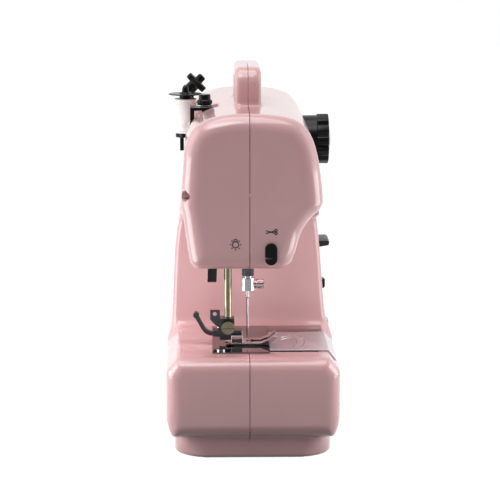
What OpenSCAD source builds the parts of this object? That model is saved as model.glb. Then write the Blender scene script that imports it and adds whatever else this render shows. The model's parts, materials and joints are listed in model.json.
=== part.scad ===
// Small electric household sewing machine: a two-part moulded housing on a low plinth,
// with the needle head at -X, the operator's side at -Y and the handwheel at +X.

/* [Housing] */
// Length of the housing, needle end to handwheel end
body_l = 243; // [230:1:270]
// Depth of the base, front to back
base_w = 122; // [116:1:136]
// Height of the bed above the table
bed_z = 73; // [66:1:80]
// Height of the underside of the base
base_z = 16; // [12:1:20]
// Height of the plinth's underside on its rubber feet
foot_h = 1.6; // [1:0.2:3]
// Depth of the plinth, front to back
plinth_w = 111; // [100:1:114]
// Height of the arm's top
arm_top = 244; // [238:1:256]
// Height of the arm's underside
arm_z = 164; // [158:1:168]
// Height of the needle head's underside
head_z = 135.5; // [130:0.5:140]
// Length of the needle head
head_l = 68; // [64:1:74]
// How far the head stands back from the base's end
head_back = 3; // [1:0.5:6]
// Widest reach of the arm behind the seam
arch_rear = 47.7; // [44:0.1:52]
// Widest reach of the arm in front of the seam
arch_front = 50.8; // [47:0.1:54]
// Free length of the bed, from the base's end to the pillar
bed_l = 121; // [112:1:126]
// Wall of the mouldings
wall = 2.4; // [1.8:0.1:3]
// Rounding of the housing's two ends
end_r = 13; // [8:1:16]
// Rounding inside the throat
throat_r = 18; // [10:1:24]

/* [Handle] */
// Distance of the handle's middle before the pillar's face
handle_in = 10.51; // [4:0.01:16]
// Length of the carrying handle
handle_l = 84; // [70:1:96]
// Width of the carrying handle
handle_w = 19; // [14:1:24]
// Height of the carrying handle over the arm
handle_h = 27; // [22:1:34]
// Thickness of the handle's bar and legs
handle_t = 11; // [8:0.5:13]

/* [Needle and presser] */
// Distance of the needle from the base's end
needle_in = 53; // [48:1:58]
// Diameter of the needle bar
needle_bar_d = 6; // [5:0.2:7]
// Stroke of the needle bar
stroke = 26; // [20:1:28]
// Height of the needle's point over the bed at the top of its stroke
needle_lift = 3; // [2:0.5:8]
// Length of the needle
needle_l = 42; // [38:0.5:44]
// Distance of the presser bar behind the needle
presser_back = 14.3; // [12:0.1:18]
// Diameter of the presser bar
presser_bar_d = 5.6; // [5:0.2:6.4]
// Height that the lifter raises the presser bar
presser_rise = 6; // [4:0.5:7]
// Length of the presser foot's sole
sole_l = 36; // [30:1:42]
// Width of the presser foot's sole
sole_w = 19; // [15:0.5:22]

/* [Bed plates] */
// Thickness of the steel bed plates
plate_t = 1; // [0.8:0.1:1.6]
// Length of the needle plate
plate_l = 92; // [84:1:96]
// Distance of the needle plate from the base's end
plate_in = 22; // [18:1:25]
// Reach of the needle plate behind the seam
plate_rear = 26; // [22:0.5:30]
// Distance of the joint between the two plates in front of the needle
plate_front = 15; // [12:0.5:18]
// Length of the slide plate
slide_l = 62; // [56:1:68]
// Travel of the slide plate
slide_travel = 38; // [30:1:42]

/* [Drive] */
// Height of the main shaft
shaft_z = 188; // [184:1:192]
// Diameter of the main shaft
shaft_d = 8; // [6:0.5:9]
// Diameter of the handwheel
wheel_d = 66; // [56:1:74]
// Thickness of the handwheel
wheel_t = 19; // [14:1:24]
// Diameter of the drive wheel on the main shaft
drive_d = 56; // [48:1:60]
// Diameter of the motor's pulley
motor_pulley_d = 14; // [10:1:16]
// Diameter of the motor
motor_d = 36; // [30:1:38]
// Length of the motor
motor_l = 37; // [32:1:40]
// Diameter of the two toothed pulleys
timing_d = 26; // [22:1:30]
// Height of the lower shaft
lower_z = 34; // [32:1:36]
// Diameter of the lower shaft
lower_d = 6; // [5:0.5:7]
// Radius of the rotary hook
hook_r = 23; // [21:0.5:24]
// Running clearance of every shaft in its bush
fit = 0.05; // [0.02:0.01:0.1]

/* [Controls] */
// Distance of the pattern dial behind the pillar's face
dial_in = 47; // [37:1:55]
// Height of the pattern dial
dial_z = 209; // [205:1:212]
// Diameter of the pattern dial
dial_d = 38; // [34:1:40]
// Length of the reverse lever
lever_l = 30; // [24:1:36]
// Height of the reverse lever
lever_z = 133; // [126:1:140]
// Width of the power switch's rocker
rocker_w = 15; // [12:1:20]

/* [Thread] */
// Diameter of the thread spool's rims
spool_d = 17; // [14:0.5:18]
// Height of the thread spool
spool_h = 26; // [22:1:30]
// Diameter of the spool cap
spool_cap_d = 25.4; // [20:0.2:27]
// Distance of the spool behind the pillar's face
spool_in = 31; // [25:1:37]
// Distance of the tension unit before the pillar's face
tension_in = 25; // [19:1:31]
// Diameter of the bobbin winder's drive disc
winder_d = 16.5; // [14:0.5:18]
// Distance of the bobbin winder from the right end
winder_in = 49; // [45:1:55]

/* [Hidden] */
$fn = 48;
seam_y = 2.5;
overall_l = body_l + 2 + wheel_t;
left_x = -overall_l / 2;
right_x = left_x + body_l;
half_w = base_w / 2;
head_x0 = left_x + head_back;
head_x1 = head_x0 + head_l;
pillar_x = left_x + bed_l;
needle_x = left_x + needle_in;
needle_y = seam_y + 0.5;
presser_y = needle_y + presser_back;
rear_y = seam_y + arch_rear;
front_y = seam_y - arch_front;
gap = 0.3;
eps = 0.01;

// Points on a smooth curve through hand-chosen points
function spline_at(a, b, c, d, t) =
    0.5 * (2 * b + (c - a) * t + (2 * a - 5 * b + 4 * c - d) * t * t
           + (3 * b - a - 3 * c + d) * t * t * t);
function spline(p, n) = let(m = len(p))
    concat([for (i = [0 : m - 2], k = [0 : n - 1])
        spline_at(p[max(i - 1, 0)], p[i], p[i + 1], p[min(i + 2, m - 1)], k / n)], [p[m - 1]]);
function arc(c, r, a0, a1, n) = [for (i = [0 : n]) let(a = a0 + (a1 - a0) * i / n)
    c + r * [cos(a), sin(a)]];
// A closed outline drawn in by a distance along its own normals, listed counter-clockwise
function inset(p, d) = let(m = len(p)) [for (i = [0 : m - 1])
    let(a = p[(i + m - 1) % m], b = p[i], c = p[(i + 1) % m],
        u = (b - a) / norm(b - a), v = (c - b) / norm(c - b),
        n = [-u.y - v.y, u.x + v.x])
    b + n * d / (1 + u * v)];

module along_x(x0, x1) { translate([x0, 0, 0]) rotate([90, 0, 90]) linear_extrude(x1 - x0) children(); }
module along_y(y0, y1) { translate([0, y1, 0]) rotate([90, 0, 0]) linear_extrude(y1 - y0) children(); }
module along_z(z0, z1) { translate([0, 0, z0]) linear_extrude(z1 - z0) children(); }
module rod_x(x0, x1, y, z, d) { translate([x0, y, z]) rotate([0, 90, 0]) cylinder(d = d, h = x1 - x0); }
module rod_y(x, y0, y1, z, d) { translate([x, y0, z]) rotate([-90, 0, 0]) cylinder(d = d, h = y1 - y0); }
module rod_z(x, y, z0, z1, d) { translate([x, y, z0]) cylinder(d = d, h = z1 - z0); }
module box(x0, x1, y0, y1, z0, z1) { translate([x0, y0, z0]) cube([x1 - x0, y1 - y0, z1 - z0]); }
// Rectangle with true round corners
module round_rect(x0, x1, y0, y1, r) {
    if (x1 - x0 > 2 * r + eps) translate([x0 + r, y0]) square([x1 - x0 - 2 * r, y1 - y0]);
    if (y1 - y0 > 2 * r + eps) translate([x0, y0 + r]) square([x1 - x0, y1 - y0 - 2 * r]);
    for (x = [x0 + r, x1 - r], y = [y0 + r, y1 - r]) translate([x, y]) circle(r);
}

// A closed outline carried along X, each ring scaled about a centre: [x, scale in Y, scale in Z]
module loft_x(outline, centre, rings) {
    m = len(outline);
    last = len(rings) - 1;
    pts = [for (r = rings, p = outline)
        [r[0], centre.x + (p.x - centre.x) * r[1], centre.y + (p.y - centre.y) * r[2]]];
    sides = [for (j = [0 : last - 1], i = [0 : m - 1]) let(k = (i + 1) % m)
        each [[j * m + i, j * m + k, (j + 1) * m + k], [j * m + i, (j + 1) * m + k, (j + 1) * m + i]]];
    ends = [[for (i = [m - 1 : -1 : 0]) i], [for (i = [0 : m - 1]) last * m + i]];
    polyhedron([for (p = pts) p], [for (f = concat(sides, ends)) [f[0], each [for (i = [len(f)
        - 1 : -1 : 1]) f[i]]]]);
}
// Rings of a rounded end: the rounding is a quarter ellipse, r long and r deep
function end_rings(x, side, r, half_y, half_z, n) = [for (i = [0 : n])
    let(a = 90 * i / n, d = r * (1 - sin(a))) [x + side * r * (1 - cos(a)), 1 - d / half_y,
        1 - d / half_z]];

// Outline of the arm's top in Y and Z, from the rear flank over the crown to the front flank
arch_pts = [
    [rear_y, arm_top - 62], [rear_y - 1.4, arm_top - 40], [rear_y - 3.2, arm_top - 23],
    [rear_y - 10, arm_top - 9.5], [rear_y - 24, arm_top - 2.4], [seam_y, arm_top],
    [front_y + 23, arm_top - 3.2], [front_y + 10.5, arm_top - 12], [front_y + 3.8, arm_top - 29],
    [front_y, arm_top - 56]];
// The head's flanks draw in below; the front one is cut back over the bed
head_pts = concat(
    [[seam_y + 0.75 * arch_rear, head_z], [rear_y - 7, head_z + 3.5], [rear_y - 4.6, head_z + 15],
     [rear_y - 1.5, head_z + 37]], arch_pts,
    [[front_y + 1.2, head_z + 43], [front_y + 8.8, head_z + 35], [front_y + 15.3, head_z + 24.5],
     [front_y + 19, head_z + 12], [front_y + 22.5, head_z + 4], [front_y + 29, head_z]]);
// The pillar's flanks flare down to the base
pillar_foot = bed_z - 14;
pillar_pts = concat(
    [[half_w, pillar_foot], [half_w, bed_z - 2], [half_w - 1.6, bed_z + 10], [half_w - 5, bed_z + 60],
     [rear_y + 1.4, bed_z + 90]], arch_pts,
    [[front_y + 0.1, bed_z + 97], [2.8 - half_w + 6, bed_z + 60], [4.5 - half_w, bed_z + 12],
     [-half_w, bed_z - 2], [-half_w, pillar_foot]]);
head_outline = spline(head_pts, 2);
pillar_outline = spline(pillar_pts, 2);
arch_mid = [(rear_y + front_y) / 2, (arm_top + head_z) / 2];
pillar_mid = [0, (arm_top + pillar_foot) / 2];
// Base: rounded below, chamfered along its top edges
chamfer_y = 7.5;
chamfer_z = 9.5;
base_belly = [6, 18];
base_outline = concat(
    [for (a = [0 : 22.5 : 90]) [half_w - base_belly.x * (1 - sin(a)),
        base_z + base_belly.y * (1 - cos(a))]],
    [[half_w, bed_z - chamfer_z], [half_w - chamfer_y, bed_z], [chamfer_y - half_w, bed_z], [-half_w,
        bed_z - chamfer_z]],
    [for (a = [90 : -22.5 : 0]) [base_belly.x * (1 - sin(a)) - half_w,
        base_z + base_belly.y * (1 - cos(a))]]);
base_mid = [0, base_z + 4];

// Solid of one moulding, drawn in by w for the cavity inside it
module head_form(w) {
    loft_x(inset(head_outline, w), arch_mid, concat(
        end_rings(head_x0 + w, 1, end_r - w, arch_rear - w, (arm_top - head_z)
            / 2 - w, 5), [[head_x1 - w, 1, 1]]));
}
module arm_form(w) {
    loft_x(inset(pillar_outline, w), pillar_mid, concat(
        [[head_x1 - 5 * wall + w, 0.985, 0.99], [head_x1 - 1, 1.002, 1.002]],
        [for (r = reverse_list(end_rings(right_x - w, -1, end_r - w, half_w - w,
            (arm_top - pillar_foot) / 2 - w, 5))) r]));
}
function reverse_list(v) = [for (i = [len(v) - 1 : -1 : 0]) v[i]];
module base_form(w) {
    r = end_r - 3 - w;
    half_z = bed_z - base_mid.y - w;
    loft_x(inset(base_outline, w), base_mid, concat(
        end_rings(left_x + w, 1, r, half_w - w, half_z, 4),
        reverse_list(end_rings(right_x - w, -1, r, half_w - w, half_z, 4))));
}
plinth_in = 5;
plinth_r = 26;
module plinth_form(w) {
    along_z(foot_h + w, base_z + 2 * w + 1)
        round_rect(left_x + plinth_in + w, right_x - plinth_in - w, w - plinth_w / 2, plinth_w / 2 - w,
            plinth_r - w);
}
// Small cove where the pillar meets the bed
foot_r = 5;
// The throat in X and Z: open to the left under the head, coved into arm and pillar
module throat(w) {
    x0 = head_x1 + w - 5 * wall - 1;
    x1 = pillar_x + w;
    z0 = bed_z - w;
    z1 = arm_z + w;
    along_y(-half_w - 1, half_w + 1)
        polygon(concat([[x0, pillar_foot - 1], [x1 - foot_r, pillar_foot - 1]],
            arc([x1 - foot_r, z0 + foot_r], foot_r, -90, 0, 4),
            arc([x1 - throat_r, z1 - throat_r], throat_r, 0, 90, 6), [[x0, z1]]));
}
module handle_form(w) {
    z0 = arm_top - 6;
    x0 = handle_x - handle_l / 2;
    x1 = handle_x + handle_l / 2;
    translate([0, seam_y, 0]) along_y(w - handle_w / 2, handle_w / 2 - w) difference() {
        polygon(concat([[x0 + w, z0], [x1 - w, z0]],
            arc([x1 - handle_r, arm_top + handle_h - handle_r], handle_r - w, 0, 90, 6),
            arc([x0 + handle_r, arm_top + handle_h - handle_r], handle_r - w, 90, 180, 6)));
        polygon(concat([[x0 + handle_t - w, arm_top], [x1 - handle_t + w, arm_top]],
            arc([x1 - handle_t - grip_r, arm_top + handle_h - handle_t - grip_r], grip_r + w, 0, 90, 5),
            arc([x0 + handle_t + grip_r, arm_top + handle_h - handle_t - grip_r], grip_r + w, 90, 180, 5)));
    }
}
handle_x = pillar_x - handle_in;
handle_r = 13;
grip_r = 7;

module body_solid(w) {
    head_form(w);
    difference() {
        arm_form(w);
        throat(w > 0 ? w : 0);
    }
    base_form(w);
    plinth_form(w);
}
// Recess in the rear shoulder where the spool stands
spool_x = pillar_x + spool_in;
spool_y = rear_y - 2;
spool_z = arm_top - 28.5;
notch_w = spool_cap_d + 5;
module notch(w) { box(spool_x - notch_w / 2 - w, spool_x + notch_w / 2 + w,
    spool_y - spool_d / 2 - 1.4 - w, half_w, spool_z - 3.2 - w, arm_top + 2 * w); }
// Pocket in the front for the pattern dial
dial_x = pillar_x + dial_in;
dial_seat_y = front_y + 8;
module dial_pocket(w) { rod_y(dial_x, -half_w, dial_seat_y + w, dial_z, dial_d + 1.4 + 2 * w); }

// Screws that draw the two halves together from behind: [x, z]
screw_d = 3;
boss_d = 8;
screw_at = [[head_x0 + 5, head_z + 52], [right_x - 34, arm_top - 17], [pillar_x + 64, bed_z + 58],
            [left_x + 16, base_z + 24], [pillar_x + 29, base_z + 41], [pillar_x + 14, arm_z + 6]];
// Depth of the screw heads' seats in the rear moulding
function head_seat(i) = [rear_y - 10, rear_y - 12, rear_y - 4, half_w - 10, half_w - 10, rear_y - 8][i];
module bosses(front) {
    for (p = screw_at)
        if (front) rod_y(p.x, -half_w, seam_y - gap / 2, p.y, boss_d);
        else rod_y(p.x, seam_y + gap / 2, half_w, p.y, boss_d + 2);
}
module screw_holes() {
    for (i = [0 : len(screw_at) - 1]) {
        rod_y(screw_at[i].x, seam_y - screw_grip, half_w, screw_at[i].y, screw_d + 2 * fit);
        rod_y(screw_at[i].x, head_seat(i), half_w + 1, screw_at[i].y, screw_head_d + 1);
    }
}
screw_grip = 12;
screw_head_d = 6;
module housing_screws() {
    color("#8f9296") for (i = [0 : len(screw_at) - 1]) {
        rod_y(screw_at[i].x, seam_y - screw_grip + 1, head_seat(i), screw_at[i].y, screw_d);
        difference() {
            rod_y(screw_at[i].x, head_seat(i), head_seat(i) + 2.2, screw_at[i].y, screw_head_d);
            for (a = [0, 90]) translate([screw_at[i].x, head_seat(i) + 2.2, screw_at[i].y])
                rotate([0, a, 0]) cube([4, 2.4, 0.8], center = true);
        }
    }
}
// Openings through the mouldings
bar_hole_d = 9;
hook_x = needle_x;
hook_y = needle_y - hook_r - 1;
bed_hole = [hook_x - hook_r - 3, hook_x + hook_r + 3, hook_y - hook_r - 3, presser_y - 2];
lifter_y = presser_y + 10.5;
lamp_x = needle_x - 26;
lamp_y = needle_y + 9;
lamp_d = 9;
jack_y = [-12, -30];
jack_z = base_z + 18;
jack_d = 9;
lever_x = pillar_x + 30;
rocker_x = pillar_x + 46;
rocker_z = bed_z - 9;
rocker_h = 10;
slider_z = bed_z + 24;
slider_w = 9;
slider_run = 24;
take_up_z = shaft_z + 22;
module openings() {
    rod_z(needle_x, needle_y, head_z - 2, head_z + 2 * wall, sleeve_d + 2 * fit);
    rod_z(needle_x, presser_y, head_z - 2, head_z + 2 * wall, presser_bar_d + 3);
    box(needle_x - 5, needle_x + 5, lifter_y - 6, lifter_y + 11.5, head_z - 2, head_z + 9);
    rod_z(lamp_x, lamp_y, head_z - 2, head_z + 2 * wall, lamp_d + 2 * fit);
    box(bed_hole[0], bed_hole[1], bed_hole[2], bed_hole[3], bed_z - 2 * wall, bed_z + 1);
    rod_x(right_x - 3 * wall, right_x + 1, shaft_y, shaft_z, shaft_d + 6);
    for (y = jack_y) rod_x(right_x - end_r, right_x + 1, y, jack_z, jack_d + 2 * fit);
    box(lever_x - lever_l / 2 - 1, lever_x + lever_l / 2 + 1, -half_w, seam_y - 40, lever_z - 6.5,
        lever_z + 2.8);
    box(rocker_x - rocker_w / 2 - gap, rocker_x + rocker_w / 2 + gap, -half_w - 1, 12 - half_w,
        rocker_z - rocker_h / 2 - gap, rocker_z + rocker_h / 2 + gap);
    box(slider_x - slider_run / 2, slider_x + slider_run / 2, -half_w, 12 - half_w, slider_z - 2,
        slider_z + 2);
    box(take_up_x - 2.6, take_up_x + 2.6, front_y - 2, front_y + 12, take_up_z - 36, take_up_z + 8);
    rod_y(dial_x, dial_seat_y - 1, dial_seat_y + 3 * wall, dial_z, dial_shaft_d + 2 * fit);
    rod_z(tension_x, tension_y, arm_top - 30, arm_top + 2, tension_post_d + 2 * fit);
}
slider_x = rocker_x;
shaft_y = needle_y;
dial_shaft_d = 8;
take_up_x = needle_x + 12;
tension_x = pillar_x - tension_in;
tension_y = rear_y - 16.6;
tension_post_d = 4;
cutter_x = head_x0;
cutter_y = seam_y - 14.7;
cutter_z = head_z + 12.1;

module shelves(w) {
    notch(w);
    shoulder_flat(w);
    winder_notch(w);
}
module shell() {
    difference() {
        union() {
            difference() {
                body_solid(0);
                shelves(0);
                dial_pocket(0);
                difference() {
                    body_solid(wall);
                    shelves(wall);
                    dial_pocket(wall);
                }
            }
            handle_form(0);
        }
        openings();
    }
}
// One half of the clamshell, with its screw bosses
module housing_half(front) {
    difference() {
        union() {
            intersection() {
                shell();
                box(left_x - 1, right_x + 1, front ? -half_w - 9 : seam_y + gap / 2,
                    front ? seam_y - gap / 2 : half_w + 9, -1, arm_top + handle_h + 1);
            }
            intersection() {
                bosses(front);
                body_solid(0.6);
            }
        }
        screw_holes();
    }
}
module front_housing() { color("#d9a9ab") housing_half(true); }
module rear_housing() { color("#d9a9ab") housing_half(false); }

// Heights and places of the needle drive
plate_z = bed_z + plate_t;
crank_r = stroke / 2;
bar_top = arm_top - wall - 2;
tip_z = plate_z + needle_lift;
clamp_z0 = tip_z + needle_l - 6;
clamp_z1 = clamp_z0 + 9;
yoke_z = shaft_z + crank_r;
yoke_h = 10;
bush_top = bar_top - stroke - 0.5;
bush_low = [head_z + 5, head_z + 14];
bush_high = [yoke_z + yoke_h / 2 + 1, bush_top];
frame_y = [presser_y + 9, presser_y + 13];
frame_x0 = needle_x - 13;
bearing_x = [head_x1 + 2, right_x - 38];
bearing_t = 5;
shaft_x1 = right_x + 2;
bush_t = 2;

// Cast frame inside the arm: guides for the two bars, two bearings for the main shaft
module main_frame() {
    post_x = bearing_x[1];
    color("#9a9da1") difference() {
        union() {
            box(frame_x0, needle_x + 6, needle_y - 8, lifter_y - 4.4, bush_low[0], bush_low[1]);
            box(frame_x0, needle_x + 6, needle_y - 8, frame_y[1], bush_high[0], bush_high[1]);
            box(frame_x0, frame_x0 + 4, needle_y - 8, frame_y[1], bush_low[0], bush_high[1]);
            box(frame_x0, post_x + bearing_t, frame_y[0], frame_y[1], shaft_z - 12, bush_high[1]);
            for (x = bearing_x) {
                box(x, x + bearing_t, shaft_y, frame_y[1], shaft_z - 10, shaft_z + 10);
                rod_x(x, x + bearing_t, shaft_y, shaft_z, 20);
            }
            box(post_x - 12, post_x + bearing_t, frame_y[0], frame_y[1], floor_z + floor_t, shaft_z);
        }
        for (z = [bush_low, bush_high]) {
            rod_z(needle_x, needle_y, z[0] - 1, z[1] + 1, needle_bar_d + 2 * bush_t);
            rod_z(needle_x, presser_y, z[0] - 1, z[1] + 1, presser_bar_d + 2 * bush_t);
        }
        for (x = bearing_x) rod_x(x - 1, x + bearing_t + 1, shaft_y, shaft_z, shaft_d + 2 * bush_t);
    }
}
module ring_z(x, y, z0, z1, d0, d1) { difference() { rod_z(x, y, z0, z1, d1); rod_z(x, y, z0 - 1,
    z1 + 1, d0); } }
module ring_x(x0, x1, y, z, d0, d1) { difference() { rod_x(x0, x1, y, z, d1); rod_x(x0 - 1, x1 + 1, y,
    z, d0); } }
module bar_bushes() {
    color("#b08d57") for (z = [bush_low, bush_high]) {
        ring_z(needle_x, needle_y, z[0], z[1], needle_bar_d + 2 * fit, needle_bar_d + 2 * bush_t);
        ring_z(needle_x, presser_y, z[0], z[1], presser_bar_d + 2 * fit, presser_bar_d + 2 * bush_t);
    }
}
module shaft_bushes() {
    color("#b08d57") for (x = bearing_x) ring_x(x, x + bearing_t, shaft_y, shaft_z, shaft_d + 2 * fit,
        shaft_d + 2 * bush_t);
}
// Main shaft with its collars, from the crank to the handwheel
crank_t = 4.5;
crank_x = needle_x + needle_bar_d / 2 + 9;
module main_shaft() {
    color("#c4c7ca") {
        rod_x(crank_x + crank_t, right_x + wheel_t, shaft_y, shaft_z, shaft_d);
        rod_x(bearing_x[0] + bearing_t + gap, bearing_x[0] + bearing_t + gap + 4, shaft_y, shaft_z,
            shaft_d + 5);
    }
}
module needle_crank() {
    color("#8d9094") {
        difference() {
            union() {
                rod_x(crank_x, crank_x + crank_t, shaft_y, shaft_z, 22);
                along_x(crank_x, crank_x + crank_t) polygon(concat(arc([shaft_y, shaft_z + crank_r], 5,
                    0, 180, 8), [[shaft_y - 11, shaft_z], [shaft_y + 11, shaft_z]]));
                along_x(crank_x, crank_x + crank_t) polygon(concat([[shaft_y, shaft_z]], arc([shaft_y,
                    shaft_z], crank_r + 3.4, 215, 325, 10)));
            }
            rod_x(crank_x - 1, crank_x + crank_t + 1, shaft_y, shaft_z, 2.5);
        }
        rod_x(crank_x - 2.6, crank_x, shaft_y, shaft_z + crank_r, 5);
    }
}
// Needle bar with the slotted yoke that the crank pin drives
module needle_bar() {
    yoke_x1 = crank_x - 2.6 - gap;
    yoke_x0 = needle_x + needle_bar_d / 2 + 2.4;
    half = crank_r + 5;
    color("#c9ccd0") difference() {
        union() {
            rod_z(needle_x, needle_y, clamp_z0 + 3, bar_top, needle_bar_d);
            rod_z(needle_x, needle_y, yoke_z - yoke_h / 2, yoke_z + yoke_h / 2, needle_bar_d + 4);
            box(yoke_x0, yoke_x1, needle_y - half, needle_y + half, yoke_z - yoke_h / 2,
                yoke_z + yoke_h / 2);
            box(needle_x, yoke_x1, needle_y - 4, needle_y + 4, yoke_z - yoke_h / 2, yoke_z + yoke_h / 2);
        }
        box(yoke_x0 + 1, yoke_x1 + 1, needle_y - half + 2.2, needle_y + half - 2.2, yoke_z - 2.6,
            yoke_z + 2.6);
        rod_z(needle_x, needle_y, clamp_z0, tip_z + needle_l, shank_d + 0.04);
    }
}
shank_d = 2;
module needle_clamp() {
    color("#b9bcc0") difference() {
        union() {
            rod_z(needle_x, needle_y, clamp_z0, clamp_z1, needle_bar_d + 4);
            rod_y(needle_x, needle_y - 6.2, needle_y, (clamp_z0 + clamp_z1) / 2, 6);
        }
        rod_z(needle_x, needle_y, clamp_z0 + 3, clamp_z1 + 1, needle_bar_d);
        rod_z(needle_x, needle_y, clamp_z0 - 1, clamp_z0 + 4, shank_d + 0.04);
        rod_y(needle_x, needle_y - 10, needle_y - needle_bar_d / 2 - 0.3, (clamp_z0 + clamp_z1) / 2, 2.6);
    }
}
module needle_clamp_screw() {
    z = (clamp_z0 + clamp_z1) / 2;
    color("#a9acb0") {
        rod_y(needle_x, needle_y - 8, needle_y - needle_bar_d / 2 - 0.4, z, 2.5);
        difference() {
            rod_y(needle_x, needle_y - 11.5, needle_y - 6.4, z, 7);
            for (a = [0 : 30 : 330]) translate([needle_x, needle_y - 12, z]) rotate([0, a, 0])
                translate([3.7, 0, 0]) rotate([-90, 0, 0]) cylinder(d = 1, h = 7, $fn = 16);
            box(needle_x - 4, needle_x + 4, needle_y - 12, needle_y - 10.8, z - 0.4, z + 0.4);
        }
    }
}
module needle() {
    color("#d6d9dc") translate([needle_x, needle_y, tip_z]) rotate_extrude()
        polygon([[0, 0], [0.35, 5], [0.45, 8], [0.45, needle_l - 12], [shank_d / 2, needle_l - 11],
            [shank_d / 2, needle_l], [0, needle_l]]);
}
sleeve_d = needle_bar_d + 2.6;
module needle_guide_sleeve() {
    color("#1d1d1f") ring_z(needle_x, needle_y, clamp_z1 + 1.4, bush_low[0], needle_bar_d + 2 * gap,
        sleeve_d);
}
// Take-up lever that pulls the thread up through the slot in the head's front
take_up_pin = [front_y + 27, shaft_z + 14];
module take_up_lever() {
    tip = [front_y + 4, take_up_z - 2];
    color("#c9ccd0") difference() {
        along_x(take_up_x - 1, take_up_x + 1) union() {
            translate(take_up_pin) circle(5);
            polygon([take_up_pin + [0, -4], take_up_pin + [0, 4], tip + [1, 2.4], tip + [1, -2.4]]);
            translate(tip + [1, 0]) circle(2.4);
        }
        rod_x(take_up_x - 2, take_up_x + 2, take_up_pin.x, take_up_pin.y, take_up_pin_d + 2 * fit);
        rod_x(take_up_x - 2, take_up_x + 2, tip.x + 1, tip.y, 1.8);
    }
}
take_up_pin_d = 4;
module take_up_pivot() {
    color("#8d9094") {
        rod_x(frame_x0 + 4, take_up_x + 2, take_up_pin.x, take_up_pin.y, take_up_pin_d);
        box(frame_x0, frame_x0 + 4, take_up_pin.x - 5, needle_y - 8, take_up_pin.y - 5, take_up_pin.y + 5);
        rod_x(take_up_x - 5, take_up_x - 1 - gap, take_up_pin.x, take_up_pin.y, take_up_pin_d + 3);
        rod_x(take_up_x + 1 + gap, take_up_x + 3, take_up_pin.x, take_up_pin.y, take_up_pin_d + 3);
    }
}

// Presser bar, lifter and foot
shank_z = plate_z + 10;
bar_low = plate_z + 17;
collar_z = bush_low[1] + presser_rise + 2;
module presser_bar() {
    color("#c9ccd0") {
        difference() {
            rod_z(needle_x, presser_y, bar_low - 7, bush_high[1] - 1, presser_bar_d);
            rod_x(needle_x - 6, needle_x + 6, presser_y, bar_low - 4, 2.6);
        }
        ring_z(needle_x, presser_y, collar_z, collar_z + 6, presser_bar_d - 1, presser_bar_d + 6);
        box(needle_x - 3, needle_x + 3, presser_y + 5, lifter_y + 2, collar_z, collar_z + 4);
        box(needle_x - 3, needle_x + 3, lifter_y - 0.8, lifter_y + 0.8, lifter_z + 5.7, collar_z + 1);
    }
}
spring_z = [collar_z + 6 + gap, bush_high[0] - gap];
// Helical presser spring round the bar
module presser_spring() {
    turns = 9;
    wire = 1;
    r = presser_bar_d / 2 + 1.4;
    rings = turns * 8;
    pitch = (spring_z[1] - spring_z[0] - wire) / turns;
    pts = [for (i = [0 : rings], k = [0 : 5]) let(a = 45 * i, b = 60 * k, q = r + wire / 2 * cos(b))
        [needle_x + q * cos(a), presser_y + q * sin(a), spring_z[0] + wire / 2 + pitch * i / 8 + wire /
            2 * sin(b)]];
    sides = [for (i = [0 : rings - 1], k = [0 : 5]) let(m = (k + 1) % 6)
        each [[i * 6 + k, (i + 1) * 6 + m, i * 6 + m], [i * 6 + k, (i + 1) * 6 + k, (i + 1) * 6 + m]]];
    color("#8d9094") polyhedron(pts, concat([[0, 1, 2, 3, 4, 5]], sides, [[for (k = [5 : -1 : 0])
        rings * 6 + k]]));
}
lifter_z = head_z + 6;
lifter_l = 27;
module presser_lifter() {
    color("#232325") difference() {
        along_x(needle_x - 3.5, needle_x + 3.5) union() {
            translate([lifter_y, lifter_z]) circle(4);
            translate([lifter_y, lifter_z]) polygon(concat([[0, 0], 4 * [cos(25), sin(25)]],
                [for (a = [0 : 8 : 40]) (4 + presser_rise * (1 - a / 40)) * [cos(50 + a), sin(50 + a)]]));
            polygon([[lifter_y + 3.4, lifter_z], [lifter_y - 3.4, lifter_z], [lifter_y - 2,
                lifter_z - lifter_l - 1], [lifter_y + 4.4, lifter_z - lifter_l]]);
            translate([lifter_y + 1.2, lifter_z - lifter_l]) circle(3.4);
        }
        rod_x(needle_x - 9, needle_x + 9, lifter_y, lifter_z, 3 + 2 * fit);
    }
}
module lifter_pin() {
    color("#8d9094") {
        rod_x(needle_x - 6, needle_x + 8, lifter_y, lifter_z, 3);
        box(needle_x + 4.5, needle_x + 8, lifter_y - 4.4, lifter_y + 4, lifter_z - 3, lifter_z + 4);
    }
}
module foot_shank() {
    guide_tab();
    color("#4b4c50") difference() {
        union() {
            box(needle_x - 5, needle_x + 5, presser_y - 4.5, presser_y + 6, shank_z - 4, bar_low + 2);
            box(needle_x - 5, needle_x + 5, foot_pin.x - 3.5, presser_y + 6, foot_pin.y - 1.6, shank_z);
            for (s = [-1, 1]) box(needle_x + s * 3.8 - 1, needle_x + s * 3.8 + 1, presser_y + 5,
                release_pin.x + 2, release_pin.y - 2.2, release_pin.y + 2.2);
            rod_x(needle_x - 4.8, needle_x + 4.8, release_pin.x, release_pin.y, 1.6);
        }
        rod_z(needle_x, presser_y, shank_z - 7, bar_low + 3, presser_bar_d);
        rod_x(needle_x - 6, needle_x + 6, presser_y, bar_low - 4, 2.7);
        rod_x(needle_x - 6, needle_x + 6, foot_pin.x, foot_pin.y, 2.4 + 2 * fit);
        box(needle_x - 6, needle_x + 6, foot_pin.x - 1.15, foot_pin.x + 1.15, foot_pin.y - 3, foot_pin.y);
    }
}
foot_pin = [needle_y + 8, plate_z + 5];
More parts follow.
